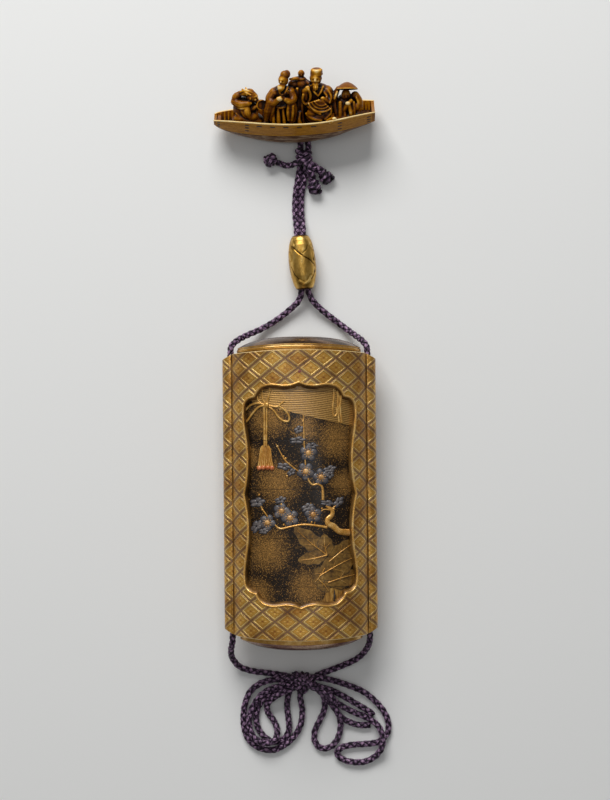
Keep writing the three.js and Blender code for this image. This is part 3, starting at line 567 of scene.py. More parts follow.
def nashiji_finish(ground, gold):
    """Black ro-iro lacquer, polished to a mirror, with sprinkled gold: flakes gather in clouds and thin out
    between them. Flakes are about 0.2 mm; a few are larger. The joints of the cases show as fine dark
    lines."""
    made, tree = new_material("black_lacquer_gold_dust")
    mm = object_mm(tree)
    cover = None
    for x, y, reach in DUST_CLOUDS:
        away = put(tree, "VectorMath", {0: mm, 1: (x, y, 20.5)}, operation="SUBTRACT")
        away = put(tree, "VectorMath", {0: away, 1: (1.0, 1.0, 0.5)}, operation="MULTIPLY")
        away = put(tree, "VectorMath", (away,), operation="LENGTH").node.outputs["Value"]
        near = put(tree, "MapRange", (away, 0.0, reach, 1.0, 0.0), interpolation_type="SMOOTHSTEP")
        cover = near if cover is None else put(tree, "Math", (cover, near), operation="MAXIMUM")
    drift = put(tree, "TexNoise", {"Vector": mm, "Scale": 0.35, "Detail": 3.0, "Roughness": 0.6})
    cover = put(tree, "Math", (drift, 0.5, put(tree, "Math", (cover, -0.25), operation="ADD")),
                operation="MULTIPLY_ADD")
    specks = []
    for size, low in ((5.2, 0.13), (3.3, 0.04)):
        cell = put(tree, "TexVoronoi", {"Vector": mm, "Scale": size, "Randomness": 1.0}, feature="F1")
        chance = put(tree, "SeparateColor", (cell.node.outputs["Color"],)).node.outputs
        near = put(tree, "MapRange", (cell.node.outputs["Distance"], 0.30, 0.46, 1.0, 0.0))
        bright = put(tree, "Math", (chance[1], 0.7, 0.3), operation="MULTIPLY_ADD")
        taken = put(tree, "Math", (put(tree, "Math", (cover, 0.95, low), operation="MULTIPLY_ADD"),
                                   chance[0]),
                    operation="GREATER_THAN")
        specks.append(put(tree, "Math", (put(tree, "Math", (near, bright), operation="MULTIPLY"), taken),
                          operation="MULTIPLY"))
    flakes = put(tree, "Math", (specks[0], put(tree, "Math", (specks[1], 0.8), operation="MULTIPLY")),
                 operation="MAXIMUM")
    haze = put(tree, "Math", (cover, 0.14), operation="MULTIPLY", use_clamp=True)
    amount = put(tree, "Math", (flakes, haze), operation="MAXIMUM")
    colour = put(tree, "MixRGB", (amount, linear(ground), linear(gold)))
    metal = put(tree, "Math", (amount, 0.6), operation="MULTIPLY")
    bump = put(tree, "Bump", {"Strength": 0.2, "Distance": 0.00003, "Height": flakes})
    shader = put(tree, "BsdfPrincipled", {
        "Base Color": colour, "Metallic": metal, "Roughness": 0.36, "IOR": 1.5, "Specular IOR Level": 0.22,
        "Normal": bump, "Coat Weight": 0.1, "Coat Roughness": 0.1, "Coat IOR": 1.5})
    put(tree, "OutputMaterial", (shader,))
    return made


def inner_lacquer_finish():
    """Plain brown-black lacquer with thin gold powder, as inside cases and on risers."""
    made, tree = new_material("brown_black_lacquer")
    mm = object_mm(tree)
    grain = put(tree, "TexNoise", {"Vector": mm, "Scale": 2.4, "Detail": 4.0, "Roughness": 0.7})
    colour = put(tree, "ValToRGB", (grain,), stops=[(0.45, "#150d09"), (0.72, "#5a3f22")])
    shader = put(tree, "BsdfPrincipled", {
        "Base Color": colour, "Metallic": 0.2, "Roughness": 0.32, "IOR": 1.52, "Coat Weight": 0.5,
        "Coat Roughness": 0.1, "Coat IOR": 1.52})
    put(tree, "OutputMaterial", (shader,))
    return made


def gilt_finish(gold):
    """Fire-gilt chased metal: bright where polished by wear, brown in the hollows and chasing."""
    made, tree = new_material("gilt_metal")
    mm = object_mm(tree)
    stretched = put(tree, "Mapping", {"Vector": mm, "Scale": (1.0, 0.35, 1.0)})
    patch = put(tree, "TexNoise", {"Vector": stretched, "Scale": 0.55, "Detail": 5.0, "Roughness": 0.62})
    grain = put(tree, "TexNoise", {"Vector": mm, "Scale": 2.2, "Detail": 4.0, "Roughness": 0.65})
    hollow = put(tree, "Attribute", attribute_name="hollow").node.outputs["Fac"]
    tone = put(tree, "Math", (hollow, -0.9, patch), operation="MULTIPLY_ADD")
    colour = put(tree, "ValToRGB", (tone,), stops=[(0.05, "#3d2408"), (0.3, "#94702f"), (0.5, gold),
                                                   (0.75, "#efce80")])
    bump = put(tree, "Bump", {"Strength": 0.2, "Distance": 0.0001, "Height": grain})
    roughness = put(tree, "Math", (grain, 0.25, 0.24), operation="MULTIPLY_ADD")
    shader = put(tree, "BsdfPrincipled", {
        "Base Color": colour, "Metallic": 0.95, "Roughness": roughness, "Normal": bump})
    put(tree, "OutputMaterial", (shader,))
    return made


def seam_shade(tree, mm, colour):
    """The colour with the cases' joints drawn through it as hairlines."""
    y = put(tree, "SeparateXYZ", (mm,)).node.outputs[1]
    near = None
    for seam in SEAMS:
        line = put(tree, "Math", (y, seam, 0.07), operation="COMPARE")
        near = line if near is None else put(tree, "Math", (near, line), operation="MAXIMUM")
    return put(tree, "MixRGB", (near, colour, linear("#0a0706")))


def makie_finish(name, low, middle, high, metal=0.6, rough=0.36, scale=2.6, fibre=(1.0, 1.0, 1.0)):
    """Takamaki-e: a motif raised in lacquer and dusted with gold or coloured powder; the powder is uneven,
    denser on the crests, and sealed under a thin clear coat. Grains are drawn 0.3 mm so that they show."""
    made, tree = new_material(name)
    mm = object_mm(tree)
    run = put(tree, "Mapping", {"Vector": mm, "Scale": fibre})
    grain = put(tree, "TexNoise", {"Vector": run, "Scale": scale, "Detail": 4.0, "Roughness": 0.7})
    cloud = put(tree, "TexNoise", {"Vector": mm, "Scale": 0.35, "Detail": 2.0})
    tone = put(tree, "Math", (grain, 0.6, put(tree, "Math", (cloud, 0.4), operation="MULTIPLY")),
               operation="MULTIPLY_ADD")
    powder = put(tree, "ValToRGB", (tone,), stops=[(0.34, low), (0.5, middle), (0.66, high)])
    colour = seam_shade(tree, mm, powder)
    bump = put(tree, "Bump", {"Strength": 0.5, "Distance": 0.00006, "Height": grain})
    shader = put(tree, "BsdfPrincipled", {
        "Base Color": colour, "Metallic": metal, "Roughness": rough, "Normal": bump, "IOR": 1.5,
        "Coat Weight": 0.3, "Coat Roughness": 0.15, "Coat IOR": 1.52})
    put(tree, "OutputMaterial", (shader,))
    return made


def blind_finish():
    """A rolled reed blind in gold: fine even reeds 0.5 mm apart, each with a bright crest and a dark gap."""
    made, tree = new_material("gold_reed_blind")
    mm = object_mm(tree)
    parts = put(tree, "SeparateXYZ", (mm,)).node.outputs
    sag = put(tree, "Math", (parts[0], parts[0]), operation="MULTIPLY")
    height = put(tree, "Math", (sag, 0.006, parts[1]), operation="MULTIPLY_ADD")
    height = put(tree, "Math", (parts[0], 0.045, height), operation="MULTIPLY_ADD")
    reed = put(tree, "Math", (put(tree, "Math", (height, 0.29), operation="PINGPONG"), 3.45),
               operation="MULTIPLY")
    grain = put(tree, "TexNoise", {"Vector": mm, "Scale": 2.4, "Detail": 4.0, "Roughness": 0.7})
    tone = put(tree, "Math", (grain, 0.8, put(tree, "Math", (reed, 0.55), operation="MULTIPLY")),
               operation="MULTIPLY_ADD")
    colour = put(tree, "ValToRGB", (tone,), stops=[(0.34, "#38240c"), (0.55, "#93692a"), (0.9, "#d0a25a")])
    bump = put(tree, "Bump", {"Strength": 0.7, "Distance": 0.00012, "Height": reed})
    shader = put(tree, "BsdfPrincipled", {
        "Base Color": seam_shade(tree, mm, colour), "Metallic": 0.55, "Roughness": 0.38, "Normal": bump,
        "Coat Weight": 0.3, "Coat Roughness": 0.15, "Coat IOR": 1.52})
    put(tree, "OutputMaterial", (shader,))
    return made


def ivory_finish():
    """Carved ivory stained with tannin and polished by hands: the stain is nearly black in the cuts, honey on
    the flats and rubbed off to cream on the crests. The stain attribute also carries painted shade where the
    carving hides the light, painted highlights on faces, a chest and a sleeve, and a painted shadow on one
    face. The boat's bottom was left bare and has greyed, with fine streaks."""
    made, tree = new_material("stained_ivory")
    mm = object_mm(tree)
    along = put(tree, "Mapping", {"Vector": mm, "Scale": (0.22, 1.0, 1.0)})
    streak = put(tree, "TexNoise", {"Vector": along, "Scale": 1.5, "Detail": 4.0, "Roughness": 0.6})
    grain = put(tree, "TexNoise", {"Vector": mm, "Scale": 2.6, "Detail": 3.0, "Roughness": 0.6})
    stain = put(tree, "Attribute", attribute_name="stain").node.outputs["Fac"]
    bare = put(tree, "Attribute", attribute_name="bare").node.outputs["Fac"]
    tone = put(tree, "Math", (streak, 0.30, -0.15), operation="MULTIPLY_ADD")
    tone = put(tree, "Math", (grain, 0.16, put(tree, "Math", (tone, -0.08), operation="ADD")),
               operation="MULTIPLY_ADD")
    tone = put(tree, "Math", (tone, stain), operation="ADD", use_clamp=True)
    colour = put(tree, "ValToRGB", (tone,), stops=[
        (0.0, "#f4dca0"), (0.16, "#d99c30"), (0.32, "#a66c04"), (0.5, "#6e3a03"), (0.7, "#331604"),
        (1.0, "#100703")])
    grey = put(tree, "ValToRGB", (streak,), stops=[(0.3, "#40291c"), (0.5, "#73553c"), (0.68, "#a0866a")])
    colour = put(tree, "MixRGB", (bare, colour, grey))
    bump = put(tree, "Bump", {"Strength": 0.25, "Distance": 0.00005, "Height": grain})
    shader = put(tree, "BsdfPrincipled", {
        "Base Color": colour, "Roughness": 0.32, "IOR": 1.54, "Specular IOR Level": 0.12, "Normal": bump,
        "Coat Weight": 0.08, "Coat Roughness": 0.12, "Coat IOR": 1.5})
    put(tree, "OutputMaterial", (shader,))
    return made


def horn_finish():
    """Dark buffalo horn, let in and polished flush: nearly black, with a soft gloss."""
    made, tree = new_material("dark_horn_inlay")
    mm = object_mm(tree)
    grain = put(tree, "TexNoise", {"Vector": mm, "Scale": 3.0, "Detail": 2.0})
    colour = put(tree, "ValToRGB", (grain,), stops=[(0.4, "#0d0807"), (0.7, "#2a1a12")])
    shader = put(tree, "BsdfPrincipled", {
        "Base Color": colour, "Roughness": 0.35, "IOR": 1.54})
    put(tree, "OutputMaterial", (shader,))
    return made

# ---------------------------------------------------------------- settings


class StageSettings(bpy.types.PropertyGroup):
    """The studio round the case."""
    floor_colour: bpy.props.StringProperty(name="Floor", description="Colour of the paper, as hex",
                                           default="#eeeeec")
    key_power: bpy.props.FloatProperty(
        name="Key light", description="Power of the softbox beyond the netsuke", default=10.3, min=0.0,
        unit="POWER")
    fill_power: bpy.props.FloatProperty(
        name="Fill light", description="Power of the side softboxes", default=0.55, min=0.0, unit="POWER")
    camera_height: bpy.props.FloatProperty(
        name="Camera height", description="Height of the camera over the floor", default=0.58135,
        unit="LENGTH")
    lens: bpy.props.FloatProperty(name="Lens", description="Focal length in millimetres", default=80.16,
                                  unit="CAMERA")


class CordSettings(bpy.types.PropertyGroup):
    """The silk cord."""
    diameter: bpy.props.FloatProperty(
        name="Diameter", description="Thickness of the braid", default=2 * CORD_RADIUS * MM, unit="LENGTH")
    colour: bpy.props.StringProperty(name="Dye", description="Colour of the silk in light, as hex",
                                     default="#3a2340")


# ---------------------------------------------------------------- studio and cords
CAMERA_PLACE = (1.84, 29.9)    # its X and Y, in millimetres
CAMERA_TURN = -0.53            # degrees
AIR_COLOUR = "#f4f6f8"
AIR_STRENGTH = 0.17


class STAGE_OT_studio(bpy.types.Operator):
    """Floor, softboxes and camera"""
    bl_idname = "inro.studio"
    bl_label = "Studio"

    def execute(self, context):
        settings = context.scene.inro_stage
        clear_selection()
        bpy.ops.mesh.primitive_plane_add(size=6.0, location=(0, 0, 0))
        floor = bpy.context.object
        floor.name = floor.data.name = "floor"
        floor.data.materials.append(paper_finish(settings.floor_colour))
        fill = settings.fill_power
        # name, place, target, power, width and height of each softbox, in metres
        boxes = [
            ("top_light", (-0.18, 0.85, 0.62), (0.0, 0.02, 0.0), settings.key_power, 0.70, 0.45),
            ("over_light", (0.0, 0.05, 0.95), (0.0, 0.02, 0.0), 0.9 * fill, 0.9, 0.9),
            ("strip_light", (-0.12, 0.05, 0.9), (0.0, 0.02, 0.0), fill, 0.05, 0.9),
            ("left_light", (-0.9, 0.0, 0.45), (0.0, 0.0, 0.0), 0.22 * fill, 0.4, 0.8),
            ("right_light", (0.9, 0.0, 0.45), (0.0, 0.0, 0.0), 0.1 * fill, 0.4, 0.8),
        ]
        for name, place, target, power, width, height in boxes:
            bpy.ops.object.light_add(type="AREA", location=place)
            lamp = bpy.context.object
            lamp.name = lamp.data.name = name
            lamp.data.shape = "RECTANGLE"
            lamp.data.size, lamp.data.size_y = width, height
            lamp.data.energy = power
            lamp.rotation_euler = (Vector(target) - Vector(place)).to_track_quat("-Z", "Y").to_euler()
        world = bpy.data.worlds.new("studio_air")
        world.use_nodes = True
        air = world.node_tree.nodes["Background"].inputs
        air["Color"].default_value = linear(AIR_COLOUR)
        air["Strength"].default_value = AIR_STRENGTH
        context.scene.world = world
        view = bpy.data.cameras.new("camera")
        view.lens = settings.lens
        view.sensor_width = 36.0
        view.clip_start, view.clip_end = 0.01, 10.0
        camera = bpy.data.objects.new("camera", view)
        camera.location = (CAMERA_PLACE[0] * MM, CAMERA_PLACE[1] * MM, settings.camera_height)
        camera.rotation_euler = (0.0, 0.0, math.radians(CAMERA_TURN))
        context.scene.collection.objects.link(camera)
        context.scene.camera = camera
        context.scene.view_settings.view_transform = "Standard"
        return {"FINISHED"}


def lay_cord(name, route, node, silk):
    """One cord along its route."""
    piece = finish_silk(braid_mesh(name, [route], CORD_SWELL), silk, node)
    line = smooth_line(route) * MM
    length_of(route)


def wraps(middle, axis, radii, turns, pitch, steps=16):
    """Points of a few turns of cord wound round an axis in the XY plane."""
    along = Vector((math.cos(axis), math.sin(axis), 0))
    across = Vector((-along.y, along.x, 0))
    points = []
    for k in range(int(turns * steps) + 1):
        a = 2 * math.pi * k / steps
        shift = pitch * (k / steps - turns / 2)
        points.append(list(Vector(middle) + along * shift + across * radii[0] * math.cos(a)
                           + Vector((0, 0, radii[1] * math.sin(a)))))
    return points


CORD_SWELL = 1.08              # yarns of the cord, fatter where they are not drawn tight
END_SWELL = 1.4                # and at the knot's frayed ends


def finish_silk(piece, silk, node):
    """Gives a braid its silk and sets it on the frame; it is made in metres."""
    return finish_piece(piece, [silk], [node], smooth=None, in_metres=True)


def bow_knot(silk):
    """The turns of cord that hold the bow."""
    turns = wraps((1.1, -61.9, 3.2), math.radians(-22), (2.5, 1.95), 2.3, 1.85)
    return finish_silk(braid_mesh("bow_knot", [turns], CORD_SWELL), silk, "cord_bow")


def netsuke_knot(silk):
    """The strands and turns of cord under the netsuke, with their two fat ends."""
    left_end = (wraps((-8.8, 107.9, 2.1), math.radians(20), (1.15, 1.05), 2.0, 1.1, 12)
                + wraps((-8.7, 108.0, 2.2), math.radians(110), (1.3, 1.15), 1.8, 1.0, 12))
    middle = wraps((2.2, 109.2, 3.4), math.radians(95), (1.75, 1.6), 2.3, 1.85)
    right_end = wraps((9.4, 102.2, 1.9), math.radians(-40), (0.95, 0.85), 2.2, 1.25, 12)
    low_end = wraps((5.6, 98.9, 1.9), math.radians(-75), (0.9, 0.85), 2.2, 1.25, 12)
    parts = [braid_mesh("strands", KNOT_ROUTES[:3] + [left_end, middle], CORD_SWELL),
             braid_mesh("ends", KNOT_ROUTES[3:] + [right_end, low_end], END_SWELL)]
    return finish_silk(join_pieces("netsuke_knot", parts), silk, "cord_knot")


class CORD_OT_silk(bpy.types.Operator):
    """The cords, their bow and the knot under the netsuke"""
    bl_idname = "inro.cords"
    bl_label = "Silk cords"

    def execute(self, context):
        settings = context.scene.inro_cord
        silk, thick = silk_finish(settings.colour), settings.diameter
        low_knot, top_knot = bow_knot(silk), netsuke_knot(silk)
        lay_cord("silk_left", LEFT_ROUTE, "cord_left", silk)
        lay_cord("silk_right", RIGHT_ROUTE, "cord_right", silk)
        for name, route in BOW_ROUTES.items():
            lay_cord(name, route, "cord_bow", silk)
        for name, route in TAIL_ROUTES.items():
            lay_cord(name, route, "cord_bow", silk)
        return {"FINISHED"}


# ---------------------------------------------------------------- sheath and inner cases


class CaseSettings(bpy.types.PropertyGroup):
    """The sheath and the inner case."""
    gold: bpy.props.StringProperty(name="Gold", description="Gold of the sheath, as hex", default="#d4a54e")
    bar: bpy.props.StringProperty(name="Bars", description="Colour of the lattice's bars, as hex",
                                  default="#8d6f55")
    ground: bpy.props.StringProperty(name="Ground", description="Lacquer under the picture, as hex",
                                     default="#1b1108")
    dust: bpy.props.StringProperty(name="Gold dust", description="Colour of the sprinkled gold, as hex",
                                   default="#e6aa58")
    cell_width: bpy.props.FloatProperty(name="Cell width", description="A lozenge across", default=8.1 * MM,
                                        unit="LENGTH")
    cell_height: bpy.props.FloatProperty(name="Cell height", description="A lozenge along", default=6.13 * MM,
                                         unit="LENGTH")
    rim: bpy.props.FloatProperty(name="Window rim", description="Thickness of the bead round the window",
                                 default=0.74 * MM, unit="LENGTH")


def oval_top(x):
    """Height of the sheath's front over its middle."""
    return SHEATH_HALF_DEPTH * math.sqrt(max(0.0, 1 - (x / SHEATH_HALF_WIDTH) ** 2))


def oval_arc(x):
    """Length of the sheath's front from its middle to x."""
    t = np.linspace(0, math.asin(min(1.0, abs(x) / SHEATH_HALF_WIDTH)), 60)
    px, pz = SHEATH_HALF_WIDTH * np.sin(t), SHEATH_HALF_DEPTH * np.cos(t)
    return math.copysign(float(np.hypot(np.diff(px), np.diff(pz)).sum()), x)


OVAL_END = 21.12               # where the oval gives way to the groove beside the channel
GROOVE = [(21.24, 2.93), (21.34, 2.66), (21.42, 2.25), (21.50, 2.16), (21.58, 2.30), (21.66, 2.55)]
CHANNEL_START = 92             # degrees round the channel from its outer side, at the groove
SHOULDER_X = 21                # beyond it the sheath's ends fall back faster
CHAMFER = 0.16


def sheath_outline():
    """The outer section: an oval with a half-round channel on each side, a fine groove between them."""
    front = [(SHEATH_HALF_WIDTH * math.sin(t), SHEATH_HALF_DEPTH * math.cos(t))
             for t in np.linspace(0, math.asin(OVAL_END / SHEATH_HALF_WIDTH), 34)]
    channel = [(CHANNEL_X + CHANNEL_RADIUS * math.cos(t), CHANNEL_RADIUS * math.sin(t))
               for t in np.linspace(math.radians(CHANNEL_START), 0, 15)]
    quarter = front + GROOVE + channel
    right = quarter + [(x, -z) for x, z in reversed(quarter[:-1])]
    return right + [(-x, z) for x, z in reversed(right[1:-1])]


def end_fall(x):
    """How far the sheath's ends fall back from the middle."""
    a = abs(x)
    return (a / SHOULDER_X) ** 2 + 0.33 * max(0.0, a - SHOULDER_X) ** 1.15


INNER_STEPS = 96               # points round the inner case


def inner_section(inset):
    """The inner case's section, a superellipse, as (x, z)."""
    a, b, e = CAVITY_HALF_WIDTH - inset, CAVITY_HALF_DEPTH - inset, 2 / CAVITY_POWER
    out = []
    for k in range(INNER_STEPS):
        t = 2 * math.pi * k / INNER_STEPS
        c, s = math.cos(t), math.sin(t)
        out.append((a * math.copysign(abs(c) ** e, c), b * math.copysign(abs(s) ** e, s)))
    return out


WINDOW_TOP = [[0, 35.6], [2.2, 34.8], [4.6, 34.5], [8.9, 34.9], [11.8, 34.2], [13.4, 32.7], [14.2, 31.2]]
WINDOW_SIDE = [[14.2, 31.2], [16.2, 30.5], [17.4, 29.0], [17.85, 26.4], [17.6, 22.0], [16.8, 16.3],
               [16.5, 10.9], [16.9, 5.0], [17.8, 0]]


def window_outline():
    """The lobed window, with its four points and four notches."""
    def run(points):
        return [tuple(p[:2]) for p in smooth_line([[x, y, 0] for x, y in points], 0.45)]
    quarter = run(WINDOW_TOP) + run(WINDOW_SIDE)[1:]
    right = quarter + [(x, -y) for x, y in reversed(quarter[:-1])]
    return right + [(-x, y) for x, y in reversed(right[1:-1])]


LATTICE_SHIFT = 0.25           # the middle cell lies this far off the middle of the case
LATTICE_START = 43.06          # a row of cells is centred at this Y
LATTICE_EDGE = 21.5            # beyond this X the cells run round the channel
CHANNEL_CELL = 3.0             # the cell that starts there
CHANNEL_TURN = 94              # degrees round the channel at which it starts


def mark_lattice(piece, width, height):
    """UVs in cells of the lozenge lattice, which runs on round the sheath and over its channels."""
    mesh = piece.data
    layer = mesh.uv_layers.new(name="lattice")
    for loop in mesh.loops:
        x, y, z = mesh.vertices[loop.vertex_index].co
        z -= AXIS_Z
        if abs(x) <= LATTICE_EDGE:
            across = (oval_arc(x) + LATTICE_SHIFT) / width
        else:
            turn = math.radians(CHANNEL_TURN) - math.atan2(abs(z), abs(x) - CHANNEL_X)
            across = math.copysign(CHANNEL_CELL + max(0.0, turn) * CHANNEL_RADIUS / width, x)
        along = (y - LATTICE_START) / height
        layer.data[loop.index].uv = (across + along, across - along)
    mesh.uv_layers.active = layer


def sheath_body(opening, cell_width, cell_height):
    """The sheath's shell, hollowed, bored for the cords, opened at the window and cut flat where it rests."""
    half = SHEATH_LENGTH / 2
    outline = sheath_outline()

    def ring(share, back, inset):
        """The outline at a share of the way to an end, back from there and drawn in."""
        return [(x * (1 - inset / (CHANNEL_X + CHANNEL_RADIUS)), share * (half - end_fall(x) - back),
                 z * (1 - inset / SHEATH_HALF_DEPTH) + AXIS_Z) for x, z in outline]

    body = raise_rings("sheath_body", [ring(*level) for level in (
        (-1, 0, CHAMFER), (-1, CHAMFER, 0), (-0.5, 0, 0), (0, 0, 0), (0.5, 0, 0), (1, CHAMFER, 0),
        (1, 0, CHAMFER))])
    cut(body, raise_rings("hollow", [[(x, y, z + AXIS_Z) for x, z in inner_section(0)] for y in (-60, 60)]))
    for side in (-1, 1):
        clear_selection()
        bpy.ops.mesh.primitive_cylinder_add(vertices=32, radius=BORE_RADIUS, depth=120,
                                            location=(side * CHANNEL_X, 0, AXIS_Z),
                                            rotation=(math.pi / 2, 0, 0))
        cut(body, bpy.context.object)
    cut(body, raise_rings("opening", [[(x, y, z) for x, y in opening] for z in (AXIS_Z, AXIS_Z + 20)]))
    clear_selection()
    bpy.ops.mesh.primitive_cube_add(size=1, location=(0, 0, -5), scale=(80, 140, 10))
    cut(body, bpy.context.object)
    mark_lattice(body, cell_width, cell_height)
    only(body)
    bpy.ops.object.mode_set(mode="EDIT")
    bpy.ops.mesh.select_all(action="SELECT")
    bpy.ops.mesh.remove_doubles(threshold=0.001)
    bpy.ops.object.mode_set(mode="OBJECT")
    return body


def share_out_lacquers(body):
    """The lattice covers the outside, plain gold the ends and walls, and a darker gold, painted shade, the
    grooves.
    """
    for face in body.data.polygons:
        centre = face.center / MM
        x, z = abs(centre.x), centre.z - AXIS_Z
        off_oval = abs((x / SHEATH_HALF_WIDTH) ** 2 + (z / SHEATH_HALF_DEPTH) ** 2 - 1)
        on_oval = off_oval < 0.03 or centre.z < 0.02
        on_channel = x > 21.6 and abs(math.hypot(x - CHANNEL_X, z) - CHANNEL_RADIUS) < 0.06
        if abs(face.normal.y) > 0.35:
            face.material_index = 1
        elif 21.2 < x < 21.68 and abs(z) < 2.9 and not on_channel:
            face.material_index = 3
        elif not (on_oval or on_channel):
            face.material_index = 2


def chip_over_window():
    """A chip in the lacquer over the window, worn to its red-brown ground."""
    chip = disc(0.2, 38.9, (0.6, 0.5), 0.06, 0.4)
    for vertex in chip.data.vertices:
        vertex.co.z += AXIS_Z + oval_top(vertex.co.x) - 0.01
    chip.name = chip.data.name = "lacquer_chip"
    ground = fundame_finish("#9c5a4a", "bared_lacquer_ground", 0.5, "#5a2a20", "#d8b0a0")
    finish_piece(chip, [ground], ["sheath"], smooth=60)


def window_moulding(opening):
    """A sloped moulding that runs round inside the opening, down to the inner case."""
    def ring(inset, depth):
        """The opening's outline, drawn in and lowered from the sheath's front."""
        out = []
        for k, (x, y) in enumerate(opening):
            ahead, back = opening[(k + 3) % len(opening)], opening[k - 3]
            run = Vector((ahead[0] - back[0], ahead[1] - back[1])).normalized()
            out.append((x + run.y * inset, y - run.x * inset, AXIS_Z + oval_top(x) - depth))
        return out

    moulding = raise_rings("window_moulding", [ring(*level) for level in (
        (-0.3, 0.3), (0.3, 0.35), (1.15, 1.2), (1.2, 1.6), (0.3, 1.7), (-0.3, 1.65))], closed=True)
    # the moulding's gold is darkened to a dark brown: painted shade in the recess under the rim
    gold = fundame_finish("#74501f", "moulding_lacquer_painted_shade", 0.4, "#3d270e", "#9c7640")
    finish_piece(moulding, [gold], ["sheath"], smooth=50)


def window_rim(opening, radius):
    """The bead round the window's edge."""
    spots = [(x, y, AXIS_Z + oval_top(x) - 0.12) for x, y in opening]
    rim = tube("window_rim", spots, [1.0] * len(spots), radius, sides=3, closed=True)
    gold = fundame_finish("#d6a04c", "gold_rim_lacquer", 0.28, "#c08c3c", bumps=0.08)
    finish_piece(rim, [gold], ["sheath"], smooth=60)


class CASE_OT_sheath(bpy.types.Operator):
    """The sheath with its window and cord channels"""
    bl_idname = "inro.sheath"
    bl_label = "Sheath"

    def execute(self, context):
        settings = context.scene.inro_case
        opening = window_outline()
        body = sheath_body(opening, settings.cell_width / MM, settings.cell_height / MM)
        lacquers = [lattice_finish(settings.gold, settings.bar),
                    fundame_finish("#ecd096", "gold_edge_lacquer", 0.28, "#c09a58"),
                    fundame_finish("#8a6a35", "gold_wall_lacquer", 0.36, "#3a2814"),
                    # a darker gold for the grooves beside the channels: painted shade
                    fundame_finish("#94703c", "groove_lacquer_painted_shade", 0.5, "#5c4120")]
        finish_piece(body, lacquers, ["sheath"], smooth=30)
        share_out_lacquers(body)
        chip_over_window()
        window_moulding(opening)
        window_rim(opening, settings.rim / MM / 2)
        return {"FINISHED"}


def ring_at(inset, y):
    """A ring of the inner case, drawn in from the cavity, at y."""
    return [(x, y, z + AXIS_Z) for x, z in inner_section(inset)]


def dome_ring(crown, toward, q):
    """A ring of a case's domed end, at q of the way out from its crown."""
    out = []
    for x, z in inner_section(FIT):
        fall = CAMBER * (x * q / CAVITY_HALF_WIDTH) ** 2 + DOME * q ** 4
        out.append((x * q, crown - toward * fall, z * q + AXIS_Z))
    return out


def lip_ring(inset, drop):
    """A ring of the rounded lip under the lid's dome."""
    return [(x, TOP_Y - DOME - CAMBER * (x / CAVITY_HALF_WIDTH) ** 2 - drop, z + AXIS_Z)
            for x, z in inner_section(inset)]


DOME_STEPS = [1.0, 0.997, 0.985, 0.96, 0.93, 0.88, 0.8, 0.68, 0.55, 0.4, 0.25, 0.1]
LIP_STEPS = [(FIT, 1.55), (0.1, 1.4), (0.0, 1.1), (0.0, 0.8), (0.1, 0.55), (FIT, 0.4)]
DOME_START = 43.5              # the domes' own lacquer starts here, both ways from the middle
EDGE_SOFT = 0.06
SEAM_GAP = 0.05                # half of the gap between two cases


def outer_edge(y, toward):
    """The softened edge of a case's outside at a seam."""
    return [ring_at(FIT + EDGE_SOFT, y), ring_at(FIT, y + toward * EDGE_SOFT)]


def riser_rings(high, floor):
    """A case's riser from its foot, over its rim and down to the floor inside."""
    riser = FIT + WALL + FIT
    return [ring_at(riser, high), ring_at(riser, high + RISER_HEIGHT),
            ring_at(riser + RISER, high + RISER_HEIGHT), ring_at(riser + RISER, floor)]


def lid_rings():
    """From inside the lid's top, round its mouth and up over its lip and dome."""
    low = SEAMS[0] + SEAM_GAP
    inside = [ring_at(FIT + WALL + 1.6, TOP_Y - 4.6), ring_at(FIT + WALL, TOP_Y - 6.4),
              ring_at(FIT + WALL, low)]
    return (inside + outer_edge(low, 1) + [ring_at(FIT, DOME_START)] + [lip_ring(*step) for step in LIP_STEPS]
            + [dome_ring(TOP_Y, 1, q) for q in DOME_STEPS])


def middle_rings(base, top):
    """From under a case's floor, round its mouth, up its outside and round its riser."""
    floor, low, high = base + RISER_HEIGHT + 0.5, base + SEAM_GAP, top - SEAM_GAP
    return ([ring_at(FIT + WALL, floor), ring_at(FIT + WALL, low)] + outer_edge(low, 1)
            + outer_edge(high, -1)[::-1] + riser_rings(high, floor + FLOOR))


def bottom_rings():
    """From the bottom case's domed end up its outside and round its riser."""
    floor, high = BOTTOM_Y + DOME + 1.2 * FLOOR, SEAMS[4] - SEAM_GAP
    return ([dome_ring(BOTTOM_Y, -1, q) for q in reversed(DOME_STEPS)] + [ring_at(FIT, -DOME_START)]
            + outer_edge(high, -1)[::-1] + riser_rings(high, floor))


def share_out_case(piece, dome_edge):
    """Black on the outside, brown inside, a gold band at the shoulders and worn lacquer on the domes."""
    for face in piece.data.polygons:
        centre = face.center / MM
        across = (abs(centre.x) / (CAVITY_HALF_WIDTH - FIT)) ** CAVITY_POWER
        deep = (abs(centre.z - AXIS_Z) / (CAVITY_HALF_DEPTH - FIT)) ** CAVITY_POWER
        if across + deep < 0.94 and abs(centre.y) <= 45:
            face.material_index = 1
        elif abs(centre.y) > DOME_START:
            face.material_index = 3 if abs(face.normal.y) > dome_edge else 2


